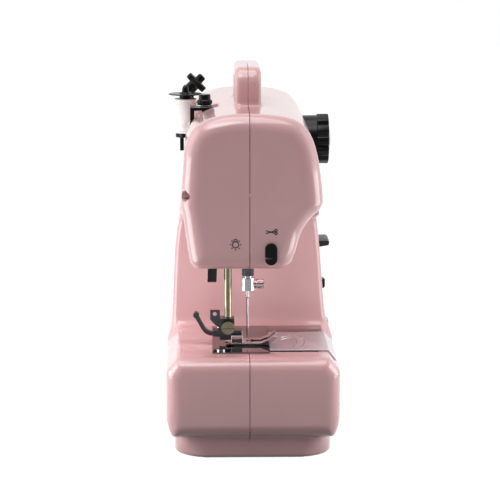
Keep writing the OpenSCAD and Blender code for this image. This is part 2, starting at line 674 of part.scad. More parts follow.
module foot_screw() {
    x = needle_x - 5.1;
    z = bar_low - 4;
    color("#a9a28c") {
        rod_x(x, needle_x + 3, presser_y, z, 2.5);
        difference() {
            rod_x(x - 5, x, presser_y, z, 9.5);
            for (a = [0 : 20 : 340]) translate([x - 6, presser_y, z]) rotate([a, 0, 0])
                translate([0, 5, 0]) rotate([0, 90, 0]) cylinder(d = 0.9, h = 7, $fn = 16);
            box(x - 6, x - 4, presser_y - 6, presser_y + 6, z - 0.6, z + 0.6);
        }
    }
}
release_pin = [presser_y + 6 + gap + 2.2, shank_z - 2];
module foot_release_lever() {
    y0 = presser_y + 6 + gap;
    z0 = shank_z - 2;
    path = [release_pin, [y0 + 6, z0 - 0.5], [y0 + 10, z0 + 1.5], [y0 + 13.5, z0 + 7], [y0 + 16.6,
        z0 + 13]];
    line = spline(path, 4);
    m = len(line) - 1;
    sides = [for (i = [0 : m]) let(u = line[min(i + 1, m)] - line[max(i - 1, 0)], n = [-u.y,
        u.x] / norm(u)) [line[i], n]];
    color("#232325") difference() {
        along_x(needle_x - 2.5, needle_x + 2.5) union() {
            polygon(concat([for (s = sides) s[0] - 1.4 * s[1]],
                [for (i = [m : -1 : 0]) sides[i][0] + 1.4 * sides[i][1]]));
            translate(path[4]) circle(2.2);
            translate(release_pin) circle(2.2);
        }
        rod_x(needle_x - 4, needle_x + 4, release_pin.x, release_pin.y, 1.6 + 2 * fit);
    }
}
module guide_tab() {
    y0 = presser_y + 6 + gap;
    color("#232325") difference() {
        along_x(needle_x - 3, needle_x - 2) polygon([[y0 - gap - 1, bar_low - 6], [y0 + 3,
            bar_low - 3], [y0 + 6.5, bar_low + 1], [y0 + 6.5, bar_low + 8], [y0 - 0.5, bar_low + 8],
            [y0 - 0.5, bar_low + 2], [y0 - gap - 1, bar_low + 1]]);
        rod_x(needle_x - 4, needle_x, y0 + 3.2, bar_low + 5, 3);
    }
}
// Sole with two upturned toes and a needle slot
sole_z = plate_z + gap;
sole_t = 1.6;
module presser_foot() {
    y1 = needle_y + sole_l * 0.45;
    y0 = y1 - sole_l;
    toe = sole_l * 0.3;
    side = [[foot_pin.x + 1, sole_z], [y1, sole_z + 1.1], [y1, sole_z + sole_t], [y0 + toe,
        sole_z + sole_t], [y0 + toe * 0.45, sole_z + sole_t + 2.2], [y0, sole_z + sole_t + 6.2],
        [y0 - 1, sole_z + 5], [y0 + toe * 0.4, sole_z + 0.9], [y0 + toe, sole_z]];
    color("#b9b4b6") difference() {
        union() {
            along_x(needle_x - sole_w / 2, needle_x + sole_w / 2) polygon(side);
            for (s = [-1, 1]) box(needle_x + s * 7.6 - 1.2, needle_x + s * 7.6 + 1.2, foot_pin.x - 4,
                foot_pin.x + 4, sole_z + sole_t - eps, foot_pin.y + 2.4);
            rod_x(needle_x - 7.6, needle_x + 7.6, foot_pin.x, foot_pin.y, 2.4);
        }
        box(needle_x - 3.2, needle_x + 3.2, y0 - 2, needle_y - 4, sole_z - 1, sole_z + 9);
        box(needle_x - 4.5, needle_x + 4.5, needle_y - 4.1, needle_y + 2.2 - 4, sole_z - 1,
            sole_z + sole_t + 1);
        rod_z(needle_x, needle_y, sole_z - 1, sole_z + sole_t + 8, 3.4);
    }
}
// Bed plates
module needle_plate() {
    x0 = left_x + plate_in;
    color("#b7b3b4") difference() {
        box(x0, x0 + plate_l, needle_y - plate_front, seam_y + plate_rear, bed_z, plate_z);
        box(needle_x - 3.4, needle_x + 3.4, needle_y - 1.2, needle_y + 1.2, bed_z - 1, plate_z + 1);
        for (s = [-1, 1]) box(needle_x + s * feed_x - 2.2, needle_x + s * feed_x + 2.2,
            feed_y[0] - feed_run - 1, feed_y[1] + feed_run + 1, bed_z - 1, plate_z + 1);
        for (x = [x0 + 6, x0 + plate_l - 6]) rod_z(x, seam_y + plate_rear - 6, bed_z - 1, plate_z + 1, 3.2);
    }
}
module plate_screws() {
    x0 = left_x + plate_in;
    color("#8f9296") for (x = [x0 + 6, x0 + plate_l - 6]) difference() {
        rod_z(x, seam_y + plate_rear - 6, plate_z, plate_z + 1.2, 6);
        box(x - 4, x + 4, seam_y + plate_rear - 6.5, seam_y + plate_rear - 5.5, plate_z + 0.7, plate_z + 2);
    }
}
module slide_plate() {
    y1 = needle_y - plate_front - gap;
    x0 = needle_x - 24;
    lift = 0.12;
    edge = [chamfer_y - half_w, bed_z];
    slope = [-chamfer_y, -chamfer_z] / norm([chamfer_y, chamfer_z]);
    out = [slope.y, -slope.x];
    lip = 9;
    bend = edge + out * (lift + plate_t);
    top = plate_z + lift;
    y0 = bend.x + slope.x * (top - bend.y) / slope.y;
    color("#c3c0c4") difference() {
        along_x(x0, x0 + slide_l) polygon([[y1, bed_z + lift], [y1, top], [y0, top],
            bend + slope * lip, edge + out * lift + slope * lip, [edge.x, bed_z + lift]]);
        for (k = [0, 1]) translate([needle_x + 8 + 7 * k, y0 + 24, plate_z - 0.35]) difference() {
            cylinder(r = 9, h = 1);
            translate([0, 0, -1]) cylinder(r = 8.2, h = 3);
            translate([-20, -10, -1]) cube([21.5, 20, 3]);
        }
    }
}
// Feed dog: two toothed bars on a carrier
feed_x = 5.6;
feed_y = [needle_y - 4, needle_y + 10];
feed_run = 1.25;
feed_z = bed_z - 6.2;
module feed_dog() {
    tooth = 1.4;
    color("#8d9094") {
        for (s = [-1, 1]) along_x(needle_x + s * feed_x - 1.2, needle_x + s * feed_x + 1.2)
            polygon(concat([[feed_y[1], feed_z + 2], [feed_y[0], feed_z + 2]],
                [for (i = [0 : 9]) let(y = feed_y[0] + tooth * i)
                    each [[y, plate_z - 0.9], [y + tooth * 0.9, plate_z - 0.2]]]));
        box(needle_x - feed_x - 1.2, needle_x + feed_x + 1.2, feed_y[0] + 6, feed_y[1] + 8, feed_z,
            feed_z + 2.4);
    }
}
module feed_guide() {
    color("#9a9da1") {
        box(needle_x - 12, needle_x + 12, presser_y + 6, presser_y + 9, floor_z + floor_t, feed_z);
        box(needle_x - 12, needle_x + 12, feed_y[0] + 7, presser_y + 9, feed_z - 3, feed_z - gap);
    }
}

// Rotary hook on a vertical shaft, driven by a crown gear and pinion
floor_z = foot_h + wall + 0.1;
floor_t = 3;
gear_r = 10;
gear_n = 12;
crown_z = lower_z + gear_r + 1.2;
hook_z = crown_z + 5;
hook_top = bed_z - 8.4;
module hook() {
    color("#a9acb0") difference() {
        union() {
            rod_z(hook_x, hook_y, floor_z + floor_t + 4, hook_z + 1, 8);
            rod_z(hook_x, hook_y, hook_z, hook_top, 2 * hook_r - 4);
            difference() {
                rod_z(hook_x, hook_y, hook_top - 5, hook_top - 2, 2 * hook_r - 0.8);
                translate([hook_x, hook_y, hook_top - 6]) cube([hook_r + 5, hook_r + 5, 8]);
            }
        }
        rod_z(hook_x, hook_y, hook_z + 2, hook_top + 1, 2 * hook_r - 7);
        translate([hook_x, hook_y, hook_top - 2]) rotate([0, 0, 20]) cube([hook_r + 5, 8, 8]);
    }
}
module crown_gear() {
    color("#e8e4da") difference() {
        union() {
            rod_z(hook_x, hook_y, crown_z, crown_z + 3.6, 2 * gear_r + 6);
            for (i = [0 : gear_n - 1]) translate([hook_x, hook_y, 0])
                rotate([0, 0, 360 / gear_n * (i + 0.5)]) box(gear_r - 3, gear_r + 3, -0.7, 0.7,
                crown_z - 2, crown_z + 1);
        }
        rod_z(hook_x, hook_y, crown_z - 4, crown_z + 5, 8);
    }
}
module bobbin_case() {
    case_r = hook_r - 5.4;
    color("#2b2b2e") difference() {
        rod_z(hook_x, hook_y, hook_z + 2 + gap, hook_top + 1.6, 2 * case_r);
        rod_z(hook_x, hook_y, hook_z + 5, hook_top + 3, 2 * case_r - 5);
        translate([hook_x - 2, hook_y - hook_r, hook_top - 2]) cube([4, 12, 8]);
    }
    color("#2b2b2e") rod_z(hook_x, hook_y, hook_z + 4, hook_top - 1, 5.6);
}
module bobbin() {
    z0 = hook_z + 5 + gap;
    r = hook_r - 5.4 - 2.5 - 1.2;
    color("#dfe6ea") difference() {
        union() {
            for (z = [z0, hook_top - 2]) rod_z(hook_x, hook_y, z, z + 1, 2 * r);
            rod_z(hook_x, hook_y, z0, hook_top - 1, 9);
        }
        rod_z(hook_x, hook_y, z0 - 1, hook_top + 1, 5.6 + 2 * fit + 0.1);
    }
}
// Spur teeth for a pinion on X
module pinion(x0, x1, y, z, r, n, d) {
    difference() {
        union() {
            rod_x(x0, x1, y, z, 2 * r - 2.6);
            for (i = [0 : n - 1]) translate([0, y, z]) rotate([360 / n * i, 0, 0])
                box(x0, x1, -0.7, 0.7, 2, r + 0.9);
        }
        rod_x(x0 - 1, x1 + 1, y, z, d);
    }
}
lower_x0 = hook_x + gear_r - 3;
lower_x1 = right_x - 70;
module lower_shaft() { color("#c4c7ca") rod_x(lower_x0, lower_x1, hook_y, lower_z, lower_d); }
module lower_gear() { color("#e8e4da") pinion(hook_x + gear_r - 2.4, hook_x + gear_r + 2.4, hook_y,
    lower_z, gear_r, gear_n, lower_d); }
lower_bearing_x = [hook_x + gear_r + 6, right_x - 92];
module base_frame() {
    feed_guide();
    motor_clamp();
    color("#9a9da1") difference() {
        union() {
            box(hook_x - 24, right_x - 22, hook_y - 12, frame_y[1], floor_z, floor_z + floor_t);
            for (x = lower_bearing_x) {
                box(x, x + bearing_t, hook_y - 8, hook_y + 8, floor_z + 1, lower_z);
                rod_x(x, x + bearing_t, hook_y, lower_z, 16);
            }
            rod_z(hook_x, hook_y, floor_z + 1, lower_z - gear_r - 2.5, 12);
        }
        rod_z(hook_x, hook_y, floor_z + floor_t + 2, lower_z, 8 + 2 * fit);
        for (x = lower_bearing_x) rod_x(x - 1, x + bearing_t + 1, hook_y, lower_z, lower_d + 2 * bush_t);
    }
}
module lower_bushes() {
    color("#b08d57") for (x = lower_bearing_x) ring_x(x, x + bearing_t, hook_y, lower_z,
        lower_d + 2 * fit, lower_d + 2 * bush_t);
}
// Toothed pulleys and the belt between the two shafts
timing_x = lower_x1 - 12;
timing_w = 8;
module timing_pulley(y, z, d) {
    difference() {
        union() {
            rod_x(timing_x, timing_x + timing_w, y, z, timing_d);
            for (x = [timing_x - 1.2, timing_x + timing_w]) rod_x(x, x + 1.2, y, z, timing_d + 5);
        }
        rod_x(timing_x - 3, timing_x + timing_w + 3, y, z, d);
        for (i = [0 : 15]) translate([timing_x, y, z]) rotate([22.5 * i + 10, 0, 0])
            translate([0.5, 0, timing_d / 2]) rotate([0, 90, 0])
            cylinder(d = 1.6, h = timing_w - 1, $fn = 16);
    }
}
module upper_pulley() { color("#e8e4da") timing_pulley(shaft_y, shaft_z, shaft_d); }
module lower_pulley() { color("#e8e4da") timing_pulley(hook_y, lower_z, lower_d); }
// A belt round two wheels in the Y and Z plane
module belt_outline(a, ra, b, rb) {
    v = b - a;
    l = norm(v);
    u = v / l;
    n = [-u.y, u.x];
    c = (ra - rb) / l;
    s = sqrt(1 - c * c);
    translate(a) circle(ra, $fn = 96);
    translate(b) circle(rb, $fn = 96);
    polygon([a + ra * (c * u + s * n), a + ra * (c * u - s * n), b + rb * (c * u - s * n),
        b + rb * (c * u + s * n)]);
}
module belt(x0, x1, a, ra, b, rb, t) {
    along_x(x0, x1) difference() {
        belt_outline(a, ra + t, b, rb + t);
        belt_outline(a, ra, b, rb);
    }
}
module timing_belt() {
    color("#2b2b2e") belt(timing_x + 1, timing_x + timing_w - 1, [shaft_y, shaft_z],
        timing_d / 2 + gap, [hook_y, lower_z], timing_d / 2 + gap, 1.4);
}
// Motor in the foot of the pillar and its round belt to the drive wheel
motor_y = frame_y[0] - motor_d / 2 - 3;
motor_z = floor_z + floor_t + motor_d / 2 + 2;
motor_x1 = right_x - 32;
drive_x = right_x - 20;
module motor() {
    color("#aeb1b5") {
        rod_x(motor_x1 - motor_l, motor_x1, motor_y, motor_z, motor_d);
        rod_x(motor_x1, motor_x1 + 3, motor_y, motor_z, 12);
        rod_x(motor_x1 - motor_l - 3, motor_x1 - motor_l, motor_y, motor_z, 14);
    }
}
module motor_clamp() {
    x = motor_x1 - motor_l / 2;
    color("#9a9da1") difference() {
        union() {
            rod_x(x - 6, x + 6, motor_y, motor_z, motor_d + 4);
            box(x - 6, x + 6, motor_y - motor_d / 2 - 2, motor_y + motor_d / 2 + 2, floor_z + floor_t,
                motor_z);
        }
        rod_x(x - 7, x + 7, motor_y, motor_z, motor_d);
    }
}
module groove(d) { translate([0, 0, 0]) rotate_extrude() translate([d / 2 + 0.4, 0])
    circle(d = 4.2, $fn = 24); }
module motor_pulley() {
    color("#e8e4da") difference() {
        union() {
            rod_x(drive_x - 3.5, drive_x + 3.5, motor_y, motor_z, motor_pulley_d + 3);
            rod_x(motor_x1 + 3 + gap, drive_x - 3.5 + eps, motor_y, motor_z, 8);
        }
        translate([drive_x, motor_y, motor_z]) rotate([0, 90, 0]) groove(motor_pulley_d + 3);
    }
}
module drive_wheel() {
    color("#e8e4da") difference() {
        union() {
            rod_x(drive_x - 3.5, drive_x + 3.5, shaft_y, shaft_z, drive_d + 3);
            rod_x(drive_x - 7, drive_x + 7, shaft_y, shaft_z, 18);
        }
        rod_x(drive_x - 8, drive_x + 8, shaft_y, shaft_z, shaft_d);
        translate([drive_x, shaft_y, shaft_z]) rotate([0, 90, 0]) groove(drive_d + 3);
        for (a = [0 : 60 : 300]) translate([drive_x - 5, shaft_y, shaft_z]) rotate([a, 0, 0])
            translate([0, 0, drive_d * 0.31]) rotate([0, 90, 0]) cylinder(d = 9, h = 10);
    }
}
module drive_belt() {
    color("#2b2b2e") belt(drive_x - 1, drive_x + 1, [shaft_y, shaft_z], drive_d / 2 + 0.6, [motor_y,
        motor_z], motor_pulley_d / 2 + 0.6, 2);
}
module handwheel() {
    x0 = right_x + 2;
    r = wheel_d / 2;
    color("#d9a9ab") difference() {
        union() {
            rod_x(x0, x0 + wheel_t - 4, shaft_y, shaft_z, 2 * r - 4);
            rod_x(x0 + 2, x0 + wheel_t - 5, shaft_y, shaft_z, 2 * r);
            ring_x(x0 + wheel_t - 5, x0 + wheel_t, shaft_y, shaft_z, 2 * r - 20, 2 * r - 8);
            rod_x(x0 + wheel_t - 5, x0 + wheel_t - 2, shaft_y, shaft_z, 19);
            rod_x(x0 - 6, x0 + 1, shaft_y, shaft_z, 12);
        }
        rod_x(x0 - 8, x0 + wheel_t + 1, shaft_y, shaft_z, shaft_d);
        for (a = [5 : 15 : 350]) translate([x0 + 4, shaft_y, shaft_z]) rotate([a, 0, 0])
            translate([0, 0, r + 1]) rotate([0, 90, 0]) cylinder(d = 4, h = wheel_t - 11, $fn = 24);
    }
}

// Pattern dial: drum, lobed grip and cap on a shaft that carries the cam stack
dial_face_y = dial_seat_y - 20.6;
module pattern_dial() {
    grip_y = dial_seat_y - 11.6;
    color("#2b2b2e") {
        rod_y(dial_x, grip_y - eps, dial_seat_y - gap, dial_z, dial_d - 2);
        difference() {
            rod_y(dial_x, dial_face_y, grip_y, dial_z, dial_d);
            for (i = [0 : 11]) translate([dial_x, dial_face_y - 1, dial_z]) rotate([0, 30 * i, 0])
                translate([dial_d / 2 + 0.9, 0, 0]) rotate([-90, 0, 0]) cylinder(d = 5, h = 30);
        }
        rod_y(dial_x, dial_seat_y - gap - 1, dial_seat_y + 9, dial_z, dial_shaft_d);
    }
}
module dial_cap() {
    color("#c9c9cc") translate([dial_x, dial_face_y, dial_z]) rotate([90, 0, 0]) rotate_extrude()
        polygon(concat([[0, 0], [7.4, 0]], [for (a = [0 : 18 : 90]) [7.4 * cos(a), 0.3 + 1.4 * sin(a)]]));
}
module pattern_cam() {
    y0 = dial_seat_y + wall + gap;
    color("#e8e4da") for (k = [0 : 2]) difference() {
        along_y(y0 + 4 * k, y0 + 4 * k + 3.2 + (k < 2 ? 0.8 : 0)) translate([dial_x, dial_z])
            polygon([for (a = [0 : 7.5 : 352.5]) (11 - k + 1.2 * cos((k + 2) * 2 * a)) * [cos(a), sin(a)]]);
        rod_y(dial_x, y0 - 1, y0 + 6.3, dial_z, dial_shaft_d);
    }
}
// Reverse lever on the pillar's front
lever_pin_y = seam_y - 45.5;
module reverse_lever() {
    tip = lever_pin_y - 17.4;
    color("#3a3a3d") difference() {
        along_x(lever_x - lever_l / 2, lever_x + lever_l / 2) union() {
            translate([lever_pin_y, lever_z - 1.4]) circle(3.6);
            polygon([[lever_pin_y, lever_z + 1.6], [tip + 1.5, lever_z + 2], [tip, lever_z + 1],
                [tip + 0.6, lever_z - 1.6], [lever_pin_y, lever_z - 4.6]]);
        }
        rod_x(lever_x - lever_l, lever_x + lever_l, lever_pin_y, lever_z - 1.4, 3 + 2 * fit);
    }
}
module lever_pivot() {
    x = lever_l / 2 + gap;
    color("#9a9da1") {
        rod_x(lever_x - x - 3, lever_x + x + 3, lever_pin_y, lever_z - 1.4, 3);
        for (s = [-1, 1]) box(lever_x + s * (x + 1.6) - 1.5, lever_x + s * (x + 1.6)
            + 1.5, lever_pin_y - 3.4, lever_pin_y + 12, lever_z - 5, lever_z + 3);
    }
}
// Power rocker and speed slider on the front
module power_rocker() {
    y = 6 - half_w;
    color("#1d1d1f") difference() {
        along_x(rocker_x - rocker_w / 2, rocker_x + rocker_w / 2)
            polygon([[y, rocker_z - rocker_h / 2 + 1], [y, rocker_z + rocker_h / 2 - 1],
                [-half_w - 0.2, rocker_z + rocker_h / 2 - 0.8],
                     [-half_w - 0.6, rocker_z + 0.6], [-half_w - 1.9, rocker_z - rocker_h / 2 + 0.9]]);
        rod_x(rocker_x - rocker_w, rocker_x + rocker_w, y - 2.5, rocker_z, 2 + 2 * fit);
    }
}
module rocker_frame() {
    y = 6 - half_w;
    color("#2b2b2e") {
        rod_x(rocker_x - rocker_w / 2 - 2, rocker_x + rocker_w / 2 + 2, y - 2.5, rocker_z, 2);
        box(rocker_x - rocker_w / 2 - 2, rocker_x + rocker_w / 2 + 2, y + 1.8, y + 14, rocker_z - 6,
            rocker_z + 6);
        for (s = [-1, 1]) box(rocker_x + s * (rocker_w / 2 + 1.6)
            - 1, rocker_x + s * (rocker_w / 2 + 1.6) + 1, y - 3.4, y + 3, rocker_z - 4, rocker_z + 4);
    }
}
slider_face = half_w - 5.1;
module speed_slider() {
    color("#1d1d1f") {
        box(slider_x - slider_w / 2, slider_x + slider_w / 2, -slider_face - 2.2, -slider_face,
            slider_z - 3.6, slider_z + 3.6);
        for (k = [-1 : 1]) box(slider_x + 2 * k - 0.4, slider_x + 2 * k + 0.4, -slider_face - 2.9,
            -slider_face - 2, slider_z - 3, slider_z + 3);
        box(slider_x - 2, slider_x + 2, -slider_face - eps, 7.6 - slider_face, slider_z - 1.7,
            slider_z + 1.7);
    }
}
module speed_board() {
    color("#2f6b4a") box(slider_x - 18, slider_x + 18, 8 - slider_face, 9.6 - slider_face,
        slider_z - 10, slider_z + 10);
    color("#2f6b4a") for (s = [-1, 1]) rod_y(slider_x + 14 * s, 4 - slider_face, 8 - slider_face,
        slider_z + 7, 5);
}
module control_board() {
    x0 = right_x - 72;
    color("#2f6b4a") {
        box(x0, x0 + 44, hook_y - 11, hook_y - 9, floor_z + floor_t, floor_z + floor_t + 26);
        for (k = [0 : 2]) box(x0 + 5 + 13 * k, x0 + 13 + 13 * k, hook_y - 15, hook_y - 11,
            floor_z + floor_t + 8, floor_z + floor_t + 18);
    }
}
module socket(y) {
    difference() {
        union() {
            rod_x(right_x - end_r, right_x + 0.6, y, jack_z, jack_d);
            box(right_x - end_r - 8, right_x - end_r, y - 5, y + 5, floor_z + floor_t, jack_z + 5);
        }
        rod_x(right_x - end_r + 2, right_x + 1, y, jack_z, 5.6);
    }
}
// Lamp under the head and thread cutter on its face
module lamp_lens() {
    color("#f2f3ee") difference() {
        rod_z(lamp_x, lamp_y, head_z - 0.8, head_z + 3.2, lamp_d);
        rod_z(lamp_x, lamp_y, head_z + 1, head_z + 4, lamp_d - 2);
    }
}
module lamp_board() {
    color("#2f6b4a") box(lamp_x - 7, lamp_x + 7, lamp_y - 6, lamp_y + 6, head_z + 3.2, head_z + 4.8);
    color("#f7e9a8") rod_z(lamp_x, lamp_y, head_z + 1.2, head_z + 3.2, 4);
}
cutter_w = 8.6;
cutter_h = 15.4;
module cutter_outline(w) {
    r = cutter_w / 2 + w;
    s = (cutter_h - cutter_w) / 2;
    for (k = [-1, 1]) translate([cutter_y, cutter_z + k * s]) circle(r);
    translate([cutter_y - r, cutter_z - s]) square([2 * r, 2 * s]);
}
module thread_cutter() {
    color("#1d1d1f") difference() {
        along_x(cutter_x - 2.2, cutter_x) cutter_outline(0);
        box(cutter_x - 3, cutter_x + 1, cutter_y - 0.5, cutter_y + cutter_w, cutter_z - 3.6,
            cutter_z - 2.2);
    }
}
module cutter_blade() { color("#d6d9dc") box(cutter_x - 1.9, cutter_x - 0.2, cutter_y - 0.2,
    cutter_y + 2.6, cutter_z - 3.3, cutter_z - 2.6); }

// Thread tension on a flat in the rear shoulder
flat_slope = -0.775;
flat_y = rear_y - 26;
flat_z = arm_top - 5.6;
flat_l = 26;
function flat_at(y) = flat_z + flat_slope * (y - flat_y);
module shoulder_flat(w) {
    d = 1.27 * w;
    along_x(tension_x - flat_l / 2 - w, tension_x + flat_l / 2 + w)
        polygon([[flat_y - w, arm_top + 9], [flat_y - w, flat_z - d + w * 0.775], [half_w,
            flat_at(half_w) - d], [half_w, arm_top + 9]]);
}
tension_plate_z = arm_top - 5.6;
module tension_bracket() {
    y0 = tension_y - 9;
    y1 = tension_y + 10.6;
    color("#1d1d1f") difference() {
        union() {
            box(tension_x - 7, tension_x + 7, y0 + 2, y1, tension_plate_z, tension_plate_z + 2.2);
            along_x(tension_x - 7, tension_x + 7) polygon([[y1 - 3, tension_plate_z + 1], [y1 - 3,
                flat_at(y1 - 3) + 0.1], [y1, flat_at(y1) + 0.1], [y1, tension_plate_z + 1]]);
        }
        rod_z(tension_x, tension_y, tension_plate_z - 1, tension_plate_z + 4, tension_post_d - 0.5);
    }
    color("#c4c7ca") rod_z(tension_x, tension_y, flat_at(tension_y)
        - 8, tension_plate_z + 10, tension_post_d);
}
module tension_discs() {
    z0 = tension_plate_z + 2.2;
    color("#b9bcc0") for (k = [0, 1]) translate([tension_x, tension_y, z0 + 0.05 + k]) rotate_extrude()
        polygon([[tension_post_d / 2 + fit, 0], [6.2, 0], [6.2, 0.4], [4, 0.9],
            [tension_post_d / 2 + fit, 0.9]]);
}
module tension_knob() {
    z0 = tension_plate_z + 4.4;
    color("#1d1d1f") translate([tension_x, tension_y, z0]) difference() {
        rotate_extrude() polygon([[tension_post_d / 2 + fit, 0], [5.4, 0], [5.6, 0.5], [5.6, 2.4],
            [4.4, 3.2], [4.2, 6.4], [3.8, 7], [0, 7], [0, 6.2], [tension_post_d / 2 + fit, 6.2]]);
        for (a = [0 : 30 : 330]) rotate(a) translate([5.7, 0, -1]) cylinder(d = 1.2, h = 4.6, $fn = 16);
    }
}
// Spool on its pin in the notch of the rear shoulder
notch_floor = spool_z - 3.2;
module spool_pin() {
    color("#1d1d1f") {
        rod_z(spool_x, spool_y, notch_floor, spool_z - gap, 15);
        translate([spool_x, spool_y, notch_floor]) rotate_extrude()
            polygon(concat([[0, 0], [pin_d / 2, 0], [pin_d / 2, spool_h + 9]],
            [for (a = [0 : 18 : 90]) [pin_d / 2 * cos(a), spool_h + 9 + 4.4 * sin(a)]]));
        box(spool_x - 4, spool_x + 4, rear_y - 0.7, rear_y + 2.2, notch_floor - 10, spool_z - gap - 1);
    }
}
pin_d = 5.2;
module spool() {
    color("#f4f4f2") difference() {
        union() {
            for (z = [spool_z, spool_z + spool_h - 1.6]) rod_z(spool_x, spool_y, z, z + 1.6, spool_d);
            rod_z(spool_x, spool_y, spool_z, spool_z + spool_h, 10);
        }
        rod_z(spool_x, spool_y, spool_z - 1, spool_z + spool_h + 1, pin_d + 2 * fit);
    }
}
module spool_thread() {
    color("#fafaf8") ring_z(spool_x, spool_y, spool_z + 1.6, spool_z + spool_h - 1.6, 10, spool_d - 1.6);
}
module spool_cap() {
    z0 = spool_z + spool_h + gap;
    color("#1d1d1f") translate([spool_x, spool_y, z0]) rotate_extrude()
        polygon([[pin_d / 2 + fit, 0], [4.4, 0], [4.6, 2], [spool_cap_d / 2, 2.6], [spool_cap_d / 2,
        3.4], [4.6, 3.2], [4, 4.4], [pin_d / 2 + fit, 4.4]]);
}
// Bobbin winder, tilted on a shelf in the rear shoulder
winder_x = right_x - winder_in;
winder_shelf = arm_top - 16;
winder_y = rear_y - 10;
winder_at = [winder_x, rear_y - 9.8, arm_top + 5.6];
module winder_notch(w) { box(winder_x - 8 - w, winder_x + 8 + w, winder_y - 2 - w, half_w,
    winder_shelf - w, arm_top + 4); }
module tilt() { translate(winder_at) rotate([45, 0, 0]) children(); }
module winder_bracket() {
    color("#1d1d1f") difference() {
        union() {
            box(winder_x - 7, winder_x + 7, winder_y - 1, winder_y + 9, winder_shelf, winder_shelf + 3);
            along_x(winder_x - 5, winder_x + 5) polygon([[winder_y + 2, winder_shelf], [winder_y + 9,
                winder_shelf], [winder_y + 8.4, winder_at.z - 7], [winder_y + 2, winder_at.z - 8.6]]);
            tilt() translate([0, 0, -9]) cylinder(d = 9, h = 6.6);
        }
        tilt() translate([0, 0, -11]) cylinder(d = 4 + 2 * fit, h = 12);
    }
}
module winder_spindle() {
    color("#1d1d1f") tilt() rotate_extrude() polygon([[0, -9.4], [2, -9.4], [2, -1.9], [winder_d / 2,
        -1.7], [winder_d / 2 + 0.2, -1], [winder_d / 2 + 0.2, 1], [winder_d / 2, 1.7], [5, 1.7], [5,
        2.4], [2.9, 2.6], [2.7, 6.6], [2, 7.6], [0, 7.6]]);
}
module rubber_feet() {
    color("#2b2b2e") for (x = [left_x + 34, right_x - 34], y = [-1, 1] * (plinth_w / 2 - 20))
        translate([x, y, 0]) rotate_extrude()
        polygon([[0, 0], [7, 0], [8, foot_h], [0, foot_h]]);
}

// Like pieces that share a body are kept together as groups of separate solids
module screws() {
    housing_screws();
    plate_screws();
}
module bushes() {
    bar_bushes();
    shaft_bushes();
    lower_bushes();
}
module pivot_pins() {
    take_up_pivot();
    lifter_pin();
    lever_pivot();
    rocker_frame();
}
module circuit_boards() {
    control_board();
    speed_board();
    lamp_board();
}
module sockets() {
    for (y = jack_y) color("#1d1d1f") socket(y);
}

front_housing();
rear_housing();
screws();
rubber_feet();
main_frame();
base_frame();
bushes();
pivot_pins();
main_shaft();
needle_crank();
upper_pulley();
drive_wheel();
handwheel();
lower_shaft();
lower_gear();
lower_pulley();
timing_belt();
motor();
motor_pulley();
drive_belt();
hook();
crown_gear();
bobbin_case();
bobbin();
feed_dog();
needle_plate();
slide_plate();
needle_bar();
needle_clamp();
needle_clamp_screw();
needle();
needle_guide_sleeve();
take_up_lever();
presser_bar();
presser_spring();
presser_lifter();
foot_shank();
foot_screw();
foot_release_lever();
presser_foot();
pattern_dial();
dial_cap();
pattern_cam();
reverse_lever();
power_rocker();
speed_slider();
circuit_boards();
sockets();
lamp_lens();
thread_cutter();
cutter_blade();
tension_bracket();
tension_discs();
tension_knob();
spool_pin();
spool();
spool_thread();
spool_cap();
winder_bracket();
winder_spindle();
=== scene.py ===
"""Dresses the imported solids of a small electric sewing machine: moulded pink housing, bright bed plates,
needle and presser, dials and thread. Lengths are in millimetres until a mesh is made; +Z is up, -Y the
operator's side, and the needle head stands at -X."""

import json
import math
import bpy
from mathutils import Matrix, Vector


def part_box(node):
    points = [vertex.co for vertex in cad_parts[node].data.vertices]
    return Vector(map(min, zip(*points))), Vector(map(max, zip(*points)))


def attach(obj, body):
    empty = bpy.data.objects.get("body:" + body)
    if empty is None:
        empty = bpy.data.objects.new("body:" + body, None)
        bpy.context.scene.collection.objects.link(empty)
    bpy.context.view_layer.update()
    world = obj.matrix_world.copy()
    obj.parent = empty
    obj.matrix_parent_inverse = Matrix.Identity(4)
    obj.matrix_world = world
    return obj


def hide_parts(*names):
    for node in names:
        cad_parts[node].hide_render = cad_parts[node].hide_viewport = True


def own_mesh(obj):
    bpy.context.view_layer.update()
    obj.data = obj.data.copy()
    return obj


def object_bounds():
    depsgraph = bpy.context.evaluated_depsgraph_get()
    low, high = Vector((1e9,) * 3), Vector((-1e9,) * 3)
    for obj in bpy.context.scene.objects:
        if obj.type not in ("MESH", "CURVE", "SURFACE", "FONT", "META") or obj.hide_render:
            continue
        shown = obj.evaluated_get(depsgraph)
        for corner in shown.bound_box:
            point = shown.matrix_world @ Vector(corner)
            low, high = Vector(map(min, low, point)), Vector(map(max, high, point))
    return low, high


bl_info = {
    "name": "Small sewing machine",
    "version": (1, 0, 0),
    "blender": (4, 5, 0),
    "location": "3D View > Sidebar > Sewing",
    "description": "Builds the visible pieces of a small electric sewing machine over its solids",
    "category": "Object",
}

import bmesh
import bpy
import numpy as np
from mathutils import Vector

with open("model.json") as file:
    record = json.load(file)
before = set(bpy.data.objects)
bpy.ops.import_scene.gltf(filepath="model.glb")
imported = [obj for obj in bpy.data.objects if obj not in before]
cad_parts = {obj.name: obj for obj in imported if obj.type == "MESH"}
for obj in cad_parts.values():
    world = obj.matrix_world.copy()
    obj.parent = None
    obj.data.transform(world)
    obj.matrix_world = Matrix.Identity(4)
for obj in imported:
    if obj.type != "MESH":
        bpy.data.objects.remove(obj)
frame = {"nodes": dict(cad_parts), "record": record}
CAD_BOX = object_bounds()
MM = 0.001


def corners(node):
    """Lowest and highest corner of a solid, in mm."""
    return np.round(np.array(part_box(node), float) / MM, 2)


def joint(name):
    """The record's entry of a joint."""
    return next(j for j in frame["record"]["behaviour"]["joints"] if j["name"] == name)


